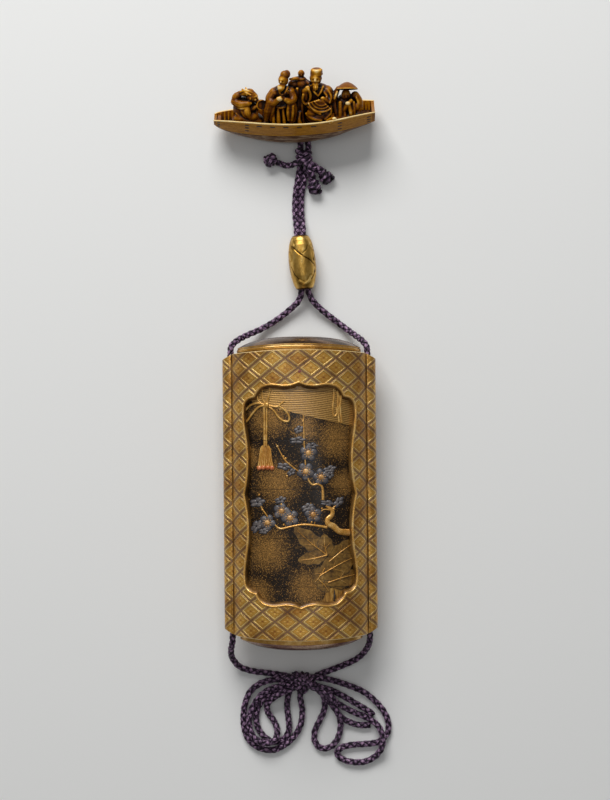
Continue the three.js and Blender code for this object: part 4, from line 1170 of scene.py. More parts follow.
class CASE_OT_inner(bpy.types.Operator):
    """The lid and the five cases inside the sheath"""
    bl_idname = "inro.inner"
    bl_label = "Inner cases"

    def execute(self, context):
        settings = context.scene.inro_case
        black = nashiji_finish(settings.ground, settings.dust)
        inside = inner_lacquer_finish()
        band = fundame_finish("#b58434", "gold_shoulder_lacquer", 0.3, "#8a6022", bumps=0.1)
        dome = fundame_finish("#4a3626", "worn_dome_lacquer", 0.26, "#291c14", "#8c705a", (0.3, 1.6, 1.6),
                              0.1)
        foot = fundame_finish("#7c4c38", "worn_foot_lacquer", 0.28, "#4a281e", "#e6c8a2", (0.25, 2.2, 2.2),
                              0.1)
        middles = [middle_rings(*ends) for ends in zip(SEAMS[1:], SEAMS[:-1])]
        for node, rings in zip(CASES, [lid_rings(), *middles, bottom_rings()]):
            at_foot = node == CASES[-1]
            piece = raise_rings("inner_" + node, rings)
            finish_piece(piece, [black, inside, band, foot if at_foot else dome], [node],
                         smooth=35)
            share_out_case(piece, 0.35 if at_foot else 0.6)
        return {"FINISHED"}


# ---------------------------------------------------------------- picture


def inner_top(x):
    """Height of the inner case's front over the floor."""
    a, b = CAVITY_HALF_WIDTH - FIT, CAVITY_HALF_DEPTH - FIT
    return AXIS_Z + b * max(0.0, 1 - min(1.0, abs(x) / a) ** CAVITY_POWER) ** (1 / CAVITY_POWER)


def drape(piece, lift=0.0):
    """Lays a flat piece on the inner case's front, lift above it."""
    for vertex in piece.data.vertices:
        vertex.co.z += inner_top(vertex.co.x) + lift
    return piece


def raise_by(piece, lift):
    """Moves a piece up in its mesh."""
    for vertex in piece.data.vertices:
        vertex.co.z += lift
    return piece


def plate(outline, thickness, step=1.1):
    """A flat plate with this outline, filled, cut fine enough to bend and given its thickness."""
    clear_selection()
    bpy.ops.mesh.primitive_circle_add(vertices=len(outline), radius=1, fill_type="NGON")
    piece = bpy.context.object
    for vertex, (x, y) in zip(piece.data.vertices, outline):
        vertex.co = (x, y, 0)
    bpy.ops.object.mode_set(mode="EDIT")
    bpy.ops.mesh.select_all(action="SELECT")
    bpy.ops.mesh.quads_convert_to_tris(ngon_method="BEAUTY")
    low, high = min(x for x, _ in outline), max(x for x, _ in outline)
    cuts = int((high - low) / step)
    for k in range(1, cuts + 1):
        bpy.ops.mesh.select_all(action="SELECT")
        bpy.ops.mesh.bisect(plane_co=(low + k * (high - low) / (cuts + 1), 0, 0), plane_no=(1, 0, 0),
                            threshold=0.0001)
    leave_edit_mode()
    return apply_modifier(piece, "SOLIDIFY", thickness=thickness, offset=1.0)


def stroke(points, radii, flat, sides=2):
    """A tapering raised line through points; radii are spread evenly along it."""
    line = smooth_line([[*p, 0.0][:3] for p in points], 0.5)
    places = np.linspace(0, 1, len(radii))
    thick = [float(np.interp(k / (len(line) - 1), places, radii)) for k in range(len(line))]
    piece = tube("stroke", line, thick, sides=sides)
    for vertex in piece.data.vertices:
        vertex.co.z *= flat
    return piece


def disc(x, y, size, height, turn=0.0):
    """A low dome."""
    clear_selection()
    bpy.ops.mesh.primitive_uv_sphere_add(segments=14, ring_count=8, radius=1, location=(x, y, 0),
                                         rotation=(0, 0, turn), scale=(size[0], size[1], height))
    piece = bpy.context.object
    bpy.ops.object.transform_apply(location=True, rotation=True, scale=True)
    return piece


def copy_to(piece, x, y, turn, scale):
    """A copy scaled, turned and moved in the plane."""
    return copy_of(piece, Matrix.Translation((x, y, 0)) @ Matrix.Rotation(turn, 4, "Z")
                   @ Matrix.Diagonal((*scale, 1, 1)))


# open blossoms as x, y, size and turn, and ones seen from the side or half open, with how open they are
OPEN_BLOSSOMS = [(2.8, 13.2, 0.98, 0.2), (1.9, 7.4, 1.0, 0.9), (6.7, 5.6, 0.96, 0.5), (-5.9, -5.0, 0.92, 0.1),
                 (-3.2, -7.2, 1.0, 0.7), (4.1, -6.2, 0.98, 0.4), (-10.4, -8.7, 0.94, 1.1)]
SIDE_BLOSSOMS = [(-0.6, 17.2, 0.95, 0.1, 0.45), (-0.2, 20.6, 0.6, 0.5, 0.7), (4.0, 15.5, 0.7, 0.0, 0.5),
                 (9.4, 8.0, 0.8, 0.3, 0.5), (-4.9, 9.0, 0.85, -0.2, 0.5), (-2.6, 7.2, 0.6, 0.6, 0.6),
                 (-13.5, -2.3, 0.9, 0.2, 0.6), (-13.9, -9.9, 0.9, 0.9, 0.6), (2.3, -3.9, 0.75, 0.4, 0.6),
                 (8.6, -2.7, 0.8, -0.1, 0.45), (12.2, -2.4, 0.75, 0.8, 0.6), (-6.2, -1.6, 0.7, 0.3, 0.6),
                 (-11.6, -11.4, 0.6, 0.1, 0.6), (9.6, 6.2, 0.5, 0.9, 0.8)]
BUDS = [(1.2, 23.2), (-7.0, 15.4), (-4.4, 11.6), (-5.1, 12.2), (-12.9, 0.1), (-5.9, -2.9), (6.9, -4.3),
        (10.6, -4.5), (3.6, -8.5), (-11.9, -4.6), (5.9, 3.7), (-4.0, 6.0), (-5.2, -9.3)]
TWIGS = [
    ([(1.2, 29.2), (1.35, 22.0), (1.5, 15.0), (1.8, 9.4)], [0.12, 0.16, 0.2, 0.22]),
    ([(-7.4, 16.2), (-5.9, 13.2), (-4.6, 11.0), (-2.6, 9.2), (-0.4, 7.5)], [0.1, 0.16, 0.22, 0.22, 0.2]),
    ([(2.3, 6.0), (3.0, 4.2), (4.0, 3.2), (5.6, 3.4), (6.9, 2.6), (7.2, 0.4), (7.2, -1.6)],
     [0.2, 0.28, 0.3, 0.28, 0.38, 0.42, 0.4]),
    ([(5.0, 3.4), (5.9, 4.4), (6.4, 5.4)], [0.18, 0.15, 0.12]),
    ([(-12.9, -0.6), (-12.2, -3.9), (-10.8, -6.0), (-9.9, -7.4)], [0.1, 0.17, 0.22, 0.2]),
    ([(-8.0, -9.3), (-6.5, -10.5), (-3.0, -9.9), (0.8, -9.3), (4.6, -9.6), (8.4, -10.3)],
     [0.22, 0.3, 0.3, 0.32, 0.36, 0.42]),
    ([(-4.6, -9.9), (-4.5, -9.0)], [0.12, 0.1]), ([(3.4, -9.3), (3.3, -8.3)], [0.14, 0.1]),
    ([(4.4, -9.4), (4.7, -8.2)], [0.14, 0.1]), ([(9.2, -4.8), (7.6, -4.6), (6.4, -5.2)], [0.22, 0.16, 0.1]),
    ([(9.6, -5.0), (10.6, -4.0), (11.6, -3.2)], [0.2, 0.16, 0.1]),
    ([(-6.1, -2.2), (-6.0, -3.6)], [0.12, 0.14]),
    ([(-4.9, 11.4), (-4.0, 11.8)], [0.14, 0.1]), ([(1.3, 23.4), (0.7, 23.9)], [0.12, 0.1]),
]
TRUNK = ([(16.6, -12.2), (14.2, -12.0), (12.2, -11.6), (10.4, -10.0), (8.7, -9.0), (8.6, -7.8), (9.9, -6.6),
          (10.2, -5.2), (9.2, -4.2), (8.2, -3.4)], [1.1, 1.05, 0.95, 0.9, 0.95, 0.85, 0.76, 0.66, 0.6, 0.38])
# leaves: hub, tip, half width and height over the ground
LEAVES = [((8.3, -19.0), (-2.0, -10.2), 2.6, 0.08), ((8.3, -19.0), (7.4, -12.4), 2.2, 0.16),
          ((8.3, -19.0), (-0.9, -20.6), 2.0, 0.24), ((9.0, -21.0), (18.2, -14.6), 2.6, 0.12),
          ((6.0, -25.4), (17.4, -19.6), 3.4, 0.32), ((7.6, -23.0), (4.2, -27.8), 2.2, 0.2),
          ((8.6, -27.6), (18.6, -25.2), 2.8, 0.26), ((5.6, -26.6), (9.0, -30.6), 1.6, 0.16)]


LEAF_LOBES = 3                 # down each side


def leaf_outline(hub, tip, half):
    """A pointed leaf with a gently lobed edge."""
    a, b = Vector(hub), Vector(tip)
    run = b - a
    across = Vector((-run.y, run.x)).normalized()
    out = []
    for side in (1, -1):
        steps = np.linspace(0, 1, 26)[:-1] if side > 0 else np.linspace(1, 0, 26)[:-1]
        for t in steps:
            lobe = 1 + 0.09 * math.cos(2 * math.pi * LEAF_LOBES * t)
            width = 1.08 * half * (math.sin(math.pi * t ** 0.8) ** 0.6) * lobe
            out.append(tuple(a + run * t + across * side * max(0.05, width)))
    return out


# the bow and tassel, and the blind's cords: points and radii
CORD_KNOT = (-10.3, 28.3)
STRANDS = [
    ([(-9.0, 37.0), (-9.3, 32.6), (-9.9, 30.0), CORD_KNOT], [0.34] * 4),
    ([(-11.0, 37.0), (-11.6, 33.4), (-11.6, 30.6), CORD_KNOT], [0.32] * 4),
    ([(-12.0, 36.0), (-13.3, 32.0), (-12.6, 29.4), CORD_KNOT], [0.28] * 4),
    ([CORD_KNOT, (-12.6, 27.9), (-14.6, 26.0), (-16.8, 23.2), (-17.6, 22.6)], [0.36, 0.34, 0.34, 0.34, 0.3]),
    ([CORD_KNOT, (-13.0, 29.0), (-15.4, 28.4), (-17.6, 26.2)], [0.34, 0.34, 0.32, 0.3]),
    ([CORD_KNOT, (-8.0, 26.6), (-6.6, 24.6), (-4.8, 23.3), (-3.4, 23.3), (-3.2, 24.8), (-4.4, 26.6),
      (-6.6, 28.2)],
     [0.34, 0.34, 0.36, 0.36, 0.34, 0.34, 0.32, 0.3]),
    ([CORD_KNOT, (-8.4, 28.0), (-6.8, 27.9), (-5.6, 28.9), (-4.7, 29.6)], [0.34, 0.36, 0.36, 0.3, 0.2]),
    ([(-11.1, 27.8), (-11.05, 22.0), (-11.1, 15.4)], [0.34, 0.34, 0.36]),
    ([(-10.3, 27.8), (-10.35, 22.0), (-10.5, 15.4)], [0.34, 0.34, 0.36]),
    ([(10.9, 37.0), (11.0, 31.0), (10.6, 27.0), (11.0, 24.6), (11.9, 25.4), (11.8, 27.6)], [0.3] * 6),
    ([(12.0, 37.0), (12.3, 31.0), (12.2, 27.0), (12.6, 22.8)], [0.3] * 4),
    ([(13.2, 37.0), (13.4, 32.0), (13.0, 27.4), (13.4, 22.6)], [0.3] * 4),
    ([(11.4, 33.0), (12.9, 30.0), (12.3, 26.0)], [0.26] * 3),
]
TASSEL_X = -10.8
# half width of the tassel's head at each height
TASSEL_HEAD = [(0.5, 15.9), (1.25, 15.5), (1.7, 14.6), (1.9, 13.0), (2.1, 11.2), (2.5, 9.3)]
JAR = [(6.3, -36.4), (6.8, -33.4), (7.9, -30.8), (9.4, -29.4), (11.4, -28.9), (13.6, -29.4), (15.0, -30.8),
       (15.8, -33.4), (16.2, -36.4)]
BLIND = [(-15.0, 38.0), (-15.0, 29.4), (-9.4, 27.9), (-4.4, 26.6), (2.0, 25.0), (9.0, 23.3), (15.6, 21.9),
         (19.0, 21.2), (19.0, 38.0)]


def inlay(name, parts, lift, finish, cases, smooth=60):
    """Joins the parts of a motif, lays them on the inner case and finishes them as one piece."""
    piece = join_pieces(name, parts)
    return finish_piece(drape(piece, lift), [finish], cases, smooth=smooth)


def plum_wood(gold):
    """The plum's trunk, its twigs and buds."""
    wood = [stroke(*TRUNK, flat=0.42, sides=3)] + [stroke(p, r, flat=0.7) for p, r in TWIGS]
    for x, y in BUDS:
        wood.append(disc(x, y, (0.36, 0.36), 0.26))
    inlay("plum_wood", wood, 0.03, gold, CASES[1:4])


def plum_blossoms():
    """Blossoms of five petals round a heart with stamens, modelled once and copied."""
    turns = [k * 2 * math.pi / 5 for k in range(5)]
    edge = join_pieces("edge", [disc(1.56 * math.cos(a), 1.56 * math.sin(a), (1.34, 1.2), 0.14, a)
                                for a in turns])
    petal = join_pieces("petal", [disc(1.5 * math.cos(a), 1.5 * math.sin(a), (1.12, 0.95), 0.2, a)
                                  for a in turns])
    stamens = [disc(0, 0, (0.95, 0.95), 0.42)]
    for k in range(10):
        a = k * 2 * math.pi / 10 + 0.2
        far = 1.4 if k % 2 else 1.25
        stamens.append(stroke([(0.4 * math.cos(a), 0.4 * math.sin(a)),
                               (far * math.cos(a), far * math.sin(a))],
                              [0.07, 0.06], flat=4.2, sides=1))
        stamens.append(disc(far * math.cos(a), far * math.sin(a), (0.2, 0.2), 0.36))
    heart = join_pieces("heart", stamens)
    edges, petals, hearts = [], [], []
    for x, y, size, turn in OPEN_BLOSSOMS:
        for first, copies in ((edge, edges), (petal, petals), (heart, hearts)):
            copies.append(copy_to(first, x, y, turn, (size, size)))
    for x, y, size, turn, wide in SIDE_BLOSSOMS:
        for first, copies in ((edge, edges), (petal, petals)):
            copies.append(copy_to(first, x, y, turn, (size, size * wide)))
    for first in (edge, petal, heart):
        bpy.data.objects.remove(first)
    dark = makie_finish("indigo_lacquer_edges", "#1c1e26", "#30333f", "#474a56", 0.05, 0.5, 2.0)
    slate = makie_finish("slate_lacquer_petals", "#383433", "#5b5453", "#8a817b", 0.05, 0.5, 1.6)
    cream = makie_finish("cream_gold_hearts", "#8a5a28", "#c99450", "#ecca92", 0.2, 0.45, 2.0)
    inlay("plum_blossoms", edges, 0.05, dark, CASES[1:4])
    inlay("plum_petals", petals, 0.1, slate, CASES[1:4])
    inlay("plum_hearts", hearts, 0.16, cream, CASES[1:4])


def broad_leaves(gold):
    """Leaves with lighter ribs, each on a slightly wider dark plate, a painted shadow that parts it from the
    next.
    """
    leaves, shadow_plates, ribs = [], [], []
    for hub, tip, half, lift in LEAVES:
        leaves.append(raise_by(plate(leaf_outline(hub, tip, half), 0.14), lift))
        # a wider dark plate a little under each leaf: painted shadow
        shadow_plates.append(raise_by(plate(leaf_outline(hub, tip, half + 0.2), 0.14), lift - 0.03))
        a, b = Vector(hub), Vector(tip)
        across = Vector((-(b - a).y, (b - a).x)).normalized()
        rib = [stroke([tuple(a), tuple(a.lerp(b, 0.5) + across * 0.25), tuple(a.lerp(b, 0.9))],
                      [0.2, 0.15, 0.08], flat=0.8)]
        for side in (1, -1):
            end = a.lerp(b, 0.56) + across * side * half * 0.7
            rib.append(stroke([tuple(a.lerp(b, 0.36)), tuple(end)], [0.08, 0.04], flat=0.8, sides=1))
        ribs += [raise_by(part, lift + 0.15) for part in rib]
    olive = makie_finish("brown_gold_leaves", "#442d0c", "#7d5a22", "#a07a38", 0.4, 0.42, 1.1)
    painted_shadow_lacquer = makie_finish("leaf_painted_shadow_lacquer", "#1d1408", "#38280f", "#5a4220", 0.3, 0.45, 1.6)
    inlay("broad_leaves", leaves, 0.0, olive, CASES[3:], 40)
    inlay("leaf_painted_shadows", shadow_plates, 0.0, painted_shadow_lacquer, CASES[3:], 40)
    inlay("leaf_ribs", ribs, 0.02, gold, CASES[3:])


def striped_jar():
    """A striped gold jar's shoulder under the leaves, with a dark slot."""
    stripes = makie_finish("striped_gold", "#4a2f0e", "#ac7a30", "#e2b460", 0.5, 0.38, 1.6, (2.2, 0.25, 1.0))
    inlay("striped_jar", [plate(JAR, 0.3)], 0.04, stripes, CASES[5:], 40)
    slot = stroke([(10.5, -29.9), (10.6, -32.2), (10.3, -34.6)], [0.1, 0.4, 0.12], flat=0.5)
    inlay("jar_slot", [slot], 0.36, inner_lacquer_finish(), CASES[5:])


def hung_cords():
    """The blind's cords and the bow's loops, which meet in a knot."""
    cords = [stroke(p, r, flat=0.75) for p, r in STRANDS] + [disc(*CORD_KNOT, (0.9, 1.05), 0.6)]
    cordage = makie_finish("gold_cord_makie", "#8a5a20", "#cf9a44", "#f2d088", 0.45, 0.38, 2.6,
                           (1.0, 1.6, 1.0))
    inlay("picture_cords", cords, 0.2, cordage, CASES[:3])


def tassel():
    """A fringed tassel under the knot, with a coral hem."""
    outline = [(TASSEL_X + w * side, y) for side in (-1, 1) for w, y in TASSEL_HEAD[::side]]
    fringe = [stroke([(TASSEL_X + 0.22 * k, 15.2), (TASSEL_X + 0.4 * k, 12.0), (TASSEL_X + 0.55 * k, 9.1)],
                     [0.08, 0.13, 0.18], flat=0.9) for k in (-4.2, -3.0, -1.8, -0.6, 0.6, 1.8, 3.0, 4.2)]
    silk = makie_finish("gold_tassel_makie", "#9a6020", "#dba046", "#f6d282", 0.45, 0.38, 2.2,
                        (2.4, 0.4, 1.0))
    inlay("picture_tassel", [plate(outline, 0.5, 0.6)] + [raise_by(part, 0.4) for part in fringe], 0.1, silk,
          CASES[2:4], 50)
    hem = [disc(TASSEL_X + k, 8.75 - 0.03 * k * k, (0.8, 0.85), 0.66) for k in (-2.05, -0.7, 0.7, 2.05)]
    coral = makie_finish("coral_lacquer_hem", "#8a3a14", "#c86a34", "#eda070", 0.1, 0.4, 2.2)
    inlay("tassel_hem", hem, 0.1, coral, CASES[2:4])


class PICTURE_OT_makie(bpy.types.Operator):
    """The raised gold picture on the inner cases: plum in blossom, leaves, a tassel and a reed blind"""
    bl_idname = "inro.picture"
    bl_label = "Picture"

    def execute(self, context):
        gold = makie_finish("gold_takamakie", "#96641f", "#d69a42", "#f5cf88", 0.5, 0.36)
        plum_wood(gold)
        plum_blossoms()
        broad_leaves(gold)
        striped_jar()
        inlay("reed_blind", [plate(BLIND, 0.16, 0.8)], 0.02, blind_finish(), CASES[:2], 40)
        hung_cords()
        tassel()
        return {"FINISHED"}


# ---------------------------------------------------------------- bead
BEAD_LOW = (2.1, 65.7)
BEAD_HIGH = (0.7, 83.2)
BEAD_HEIGHT = 4.25             # of its axis; it rests on the table
BEAD_PROFILE = [(0.0, 2.25), (0.01, 2.55), (0.03, 2.85), (0.07, 3.2), (0.14, 3.6), (0.25, 4.05), (0.4, 4.33),
                (0.55, 4.38), (0.7, 4.2), (0.82, 3.85), (0.9, 3.45), (0.95, 3.05), (0.98, 2.7), (0.993, 2.45),
                (1.0, 2.25)]
BEAD_AROUND = 4.2              # its mean radius, for measures over its surface
BEAD_LENGTH = 17.5
BEAD_TURNS = 160               # points round it
HOLE = (2.15, 1.15)            # half sizes of the hole, which is wide enough for the pair
# chased lines on the upper face, as points (angle from straight up, share of the length), width and rise;
# cut in if < 0
CHASED = [([(-0.8, 0.8), (-0.35, 0.69), (0.1, 0.6), (0.5, 0.54), (0.9, 0.46)], 0.1, -0.16),
          ([(0.1, 0.66), (0.4, 0.72), (0.55, 0.8)], 0.07, -0.1),
          ([(-1.0, 0.42), (-0.8, 0.3), (-0.5, 0.2)], 0.08, -0.1),
          ([(-0.4, 0.15), (0.0, 0.1), (0.4, 0.13), (0.65, 0.22)], 0.16, 0.2),
          ([(-0.95, 0.9), (-0.7, 0.8)], 0.2, 0.16), ([(0.95, 0.76), (1.1, 0.66), (1.1, 0.56)], 0.18, 0.16),
          ([(-1.2, 0.66), (-1.05, 0.58)], 0.2, 0.14), ([(1.15, 0.36), (1.0, 0.26), (0.7, 0.18)], 0.08, -0.12)]


def chasing(around, share, lines, dots):
    """How far the gilt face rises at a place on it, and how much it is hollowed."""
    rise, hollow = 0.0, 0.0
    here = np.array((-around, share * BEAD_AROUND, 0))
    for line, size, much in lines:
        near = float(np.min(np.linalg.norm((line - here) * (1.0, 1.0, 0), axis=1)))
        cover = math.exp(-(near / (size * 0.55)) ** 2)
        rise += much * cover
        hollow += (0.55 if much < 0 else -0.1) * cover
        if much > 0:
            hollow += 0.2 * math.exp(-((near - size * 1.1) / (size * 0.35)) ** 2)
    for angle, place in dots:
        cover = math.exp(-(((-around - angle) * BEAD_AROUND) ** 2
                           + ((share - place) * BEAD_LENGTH) ** 2) / 0.09)
        rise -= 0.08 * cover
        hollow += 0.5 * cover
    return rise, hollow


class OJIME_OT_bead(bpy.types.Operator):
    """The gilt bead that slides on the pair of cords"""
    bl_idname = "inro.bead"
    bl_label = "Gilt bead"

    def execute(self, context):
        low, high = Vector((*BEAD_LOW, BEAD_HEIGHT)), Vector((*BEAD_HIGH, BEAD_HEIGHT))
        axis = high - low
        side = Vector((axis.y, -axis.x, 0)).normalized()
        shares = np.concatenate([[0.0, 0.004, 0.012, 0.03], np.linspace(0.045, 0.955, 120),
                                 [0.97, 0.985, 0.995, 1.0]])
        turns = [2 * math.pi * k / BEAD_TURNS for k in range(BEAD_TURNS)]
        rng = random.Random(11)
        dots = [(rng.uniform(1.0, 1.35), rng.uniform(0.3, 0.8)) for _ in range(14)]
        lines = [(smooth_line([(a, t * BEAD_AROUND, 0) for a, t in points], 0.05), size, rise)
                 for points, size, rise in CHASED]
        rings, hollows = [], []
        for t in shares:
            ring = []
            plain = float(np.interp(t, [p[0] for p in BEAD_PROFILE], [p[1] for p in BEAD_PROFILE]))
            for a in turns:
                around = (a - math.pi / 2 + math.pi) % (2 * math.pi) - math.pi
                rise, hollow = 0.0, 0.0
                if abs(around) < 1.7 and 0.04 < t < 0.96:
                    rise, hollow = chasing(around, t, lines, dots)
                r = plain + rise + 0.05 * math.sin(3 * a + 7 * t) * (0.1 < t < 0.9)
                point = low + axis * t + side * (r * math.cos(a)) + Vector((0, 0, r * math.sin(a)))
                point.z = max(point.z, 0.02)
                ring.append(point)
                hollows.append(min(1.0, hollow) + (0.5 if t < 0.03 or t > 0.97 else 0.0))
            rings.append(ring)
        # the hole through it, where the pair runs
        for t in (1.0, 0.94, 0.06, 0.0):
            middle = low + axis * t
            rings.append([middle + side * (HOLE[0] * math.cos(a)) + Vector((0, 0, HOLE[1] * math.sin(a)))
                          for a in turns])
            hollows += [1.0] * len(turns)
        bead = raise_rings("gilt_bead", rings, closed=True)
        known = {tuple(round(c, 4) for c in point): hollow
                 for point, hollow in zip((p for ring in rings for p in ring), hollows)}
        set_attribute(bead.data, "hollow", [known.get(tuple(round(c, 4) for c in vertex.co), 0.0)
                                            for vertex in bead.data.vertices])
        finish_piece(bead, [gilt_finish("#c79c4c")], ["ojime"], smooth=45)
        return {"FINISHED"}


# ---------------------------------------------------------------- netsuke: (across, up, out of the near side)
BOAT_TILT = math.radians(30)   # the boat lies over on its far side
BOAT_PLACE = (-0.9, 120.8, 7.19)
FLARE = math.tan(BOAT_TILT)
# across, half beam, height of the gunwale, depth of the strake, depth of the bilge under it
STATIONS = [(-25.6, 3.0, 0.55, 1.6, 0.6), (-24.7, 3.7, 0.75, 2.5, 0.7), (-20.8, 5.1, 1.05, 4.1, 1.25),
            (-15.0, 6.4, 1.07, 4.8, 2.4), (-8.0, 7.6, 0.95, 4.9, 3.6), (0.0, 8.4, 1.0, 4.7, 4.25),
            (7.0, 8.6, 1.45, 4.5, 4.2), (13.0, 8.3, 2.25, 4.85, 3.3), (19.0, 7.3, 3.2, 4.85, 1.85),
            (24.0, 5.9, 3.65, 4.15, 1.1), (25.9, 5.3, 3.75, 3.65, 0.7)]
SHEER_LINE = smooth_line([(s[0], s[1], s[2]) for s in STATIONS], 0.5)
DEPTH_LINE = smooth_line([(s[0], s[3], s[4]) for s in STATIONS], 0.5)
# dark staples in the near strake: across, how far down the strake, half length
STAPLES = [(-11.08, 0.25, 0.85), (-6.8, 0.25, 0.85), (-2.55, 0.25, 0.85), (1.77, 0.25, 0.85),
           (6.31, 0.27, 0.85), (-15.0, 0.24, 0.62), (-15.03, 0.47, 0.62), (-15.07, 0.73, 0.62),
           (14.64, 0.3, 0.66), (14.65, 0.57, 0.66), (14.67, 0.84, 0.66), (-24.1, 0.22, 0.5),
           (-24.15, 0.5, 0.5), (-24.2, 0.78, 0.4), (23.98, 0.37, 0.6), (24.0, 0.61, 0.6), (24.0, 0.86, 0.6)]


def station(x):
    """Half beam, gunwale height, strake and bilge at x."""
    return [float(np.interp(x, line[:, 0], line[:, k])) for line in (SHEER_LINE, DEPTH_LINE) for k in (1, 2)]


def strake_point(x, down, out=0.0):
    """A point on the near strake, out proud of it."""
    beam, sheer, strake, _ = station(x)
    swell = 0.14 * math.sin(math.pi * down)
    return (x, sheer - down * strake - out * FLARE * 0.7, beam - down * strake * FLARE + swell + out)


def outer_half(x, shrink=0.0):
    """The near half of the hull's outer section, from gunwale to keel, as (up, out)."""
    beam, sheer, strake, bilge = station(x)
    chine, low = beam - strake * FLARE, sheer - strake
    side = [strake_point(x, t)[1:] for t in (0.0, 0.12, 0.3, 0.5, 0.7, 0.88, 1.0)]
    under = [(low - bilge * d, chine * q) for q, d in
             ((0.985, 0.08), (0.95, 0.22), (0.86, 0.45), (0.72, 0.66), (0.55, 0.82), (0.38, 0.92),
              (0.18, 0.985))]
    return [(u, n - shrink) for u, n in side + under]


def hull_ring(x):
    """Outer section, far inner wall, deck and near inner wall."""
    beam, sheer, strake, _ = station(x)
    half = outer_half(x)
    keel = [(half[-1][0] - 0.05, 0.0)]
    deck = max(sheer - 2.7, sheer - strake + 0.3)
    top, foot = beam - 0.75, beam - 0.75 - (sheer - deck) * FLARE * 0.8
    inner = [(sheer, top), (sheer - 0.3, top - 0.1), (deck, foot), (deck, foot * 0.6), (deck, foot * 0.2)]
    near = [(x, u, n) for u, n in half + keel]
    far = [(x, u, -n) for u, n in reversed(half)]
    return near + far + [(x, u, -n) for u, n in inner] + [(x, u, n) for u, n in reversed(inner)]


def ball(x, up, out, rx, ry=None, rz=None, turn=(0.0, 0.0, 0.0)):
    """An ellipsoid by its middle and half sizes."""
    clear_selection()
    bpy.ops.mesh.primitive_uv_sphere_add(segments=18, ring_count=10, radius=1, location=(x, up, out),
                                         rotation=turn, scale=(rx, ry or rx, rz or rx))
    return bpy.context.object


def limb(points, radii):
    """A round limb, fold or sleeve that runs through points, closed by a ball at each end."""
    ends = [ball(*points[k], radii[k] * 0.98) for k in (0, -1)]
    return [stroke(points, radii, flat=1.0, sides=3)] + ends


def robe(x, out, low, height, hem, shoulder, flat, lean, folds, depth, seed):
    """A gown, wide at the hem, with folds that deepen towards it."""
    rings = []
    for t in np.linspace(0, 1, 22):
        size = float(np.interp(t, (0, 0.25, 0.62, 0.86, 0.96, 1), (hem, hem * 0.93, shoulder * 1.02, shoulder,
                                                                  shoulder * 0.7, shoulder * 0.3)))
        ring = []
        for k in range(60):
            a = 2 * math.pi * k / 60
            fold = abs(math.cos(folds / 2 * a + seed + 0.7 * math.sin(2.5 * t + seed))) ** 0.8 - 0.6
            r = size * (1 + depth * (1 - 0.75 * t) * fold)
            ring.append((x + lean * t + r * math.cos(a), low + height * t, out + r * flat * math.sin(a)))
        rings.append(ring)
    return raise_rings("robe", rings)


def face(x, up, out, size, turn=0.0, smile=0.3, pale=0.0):
    """Brow, nose, cheeks, lids, lips and ears on a head, turned about the head's upright axis: calm and
    even."""
    parts = []
    c, s = math.cos(turn), math.sin(turn)

    def spot(a, b, d):
        return (x + size * (a * c + d * s), up + size * b, out + size * (d * c - a * s))

    for side in (-1, 1):
        parts.append(ball(*spot(0.42 * side, -0.22, 0.66), size * 0.3, size * 0.26, size * 0.24))
        parts += limb([spot(0.12 * side, 0.33, 0.92), spot(0.42 * side, 0.4, 0.8),
                       spot(0.66 * side, 0.26, 0.6)],
                      [size * 0.1, size * 0.11, size * 0.08])
        parts.append(ball(*spot(0.36 * side, 0.12, 0.78), size * 0.17, size * 0.08, size * 0.13))
        parts.append(ball(*spot(0.98 * side, 0.02, -0.02), size * 0.12, size * 0.3, size * 0.2))
    parts += limb([spot(0, 0.22, 0.93), spot(0, -0.14, 1.13)], [size * 0.09, size * 0.16])
    parts += limb([spot(-smile, -0.44, 0.86), spot(0, -0.5, 0.95), spot(smile, -0.44, 0.86)],
                  [size * 0.07, size * 0.1, size * 0.07])
    parts.append(ball(*spot(0, -0.76, 0.7), size * 0.3, size * 0.22, size * 0.24))
    eyes = [(*spot(0.36 * side, 0.04, 0.92), size * 0.16, 0.5) for side in (-1, 1)] + [
        (*spot(0, -0.6, 0.95), size * 0.2, 0.3)]
    # painted highlights: lighter spots on brow, cheeks and nose, as strong as pale is
    worn = [(*spot(*place), size * 0.42, -pale) for place in (
        (0, 0.52, 0.85), (-0.45, -0.2, 0.85), (0.45, -0.2, 0.85), (0, -0.1, 1.1))]
    return parts, eyes + worn


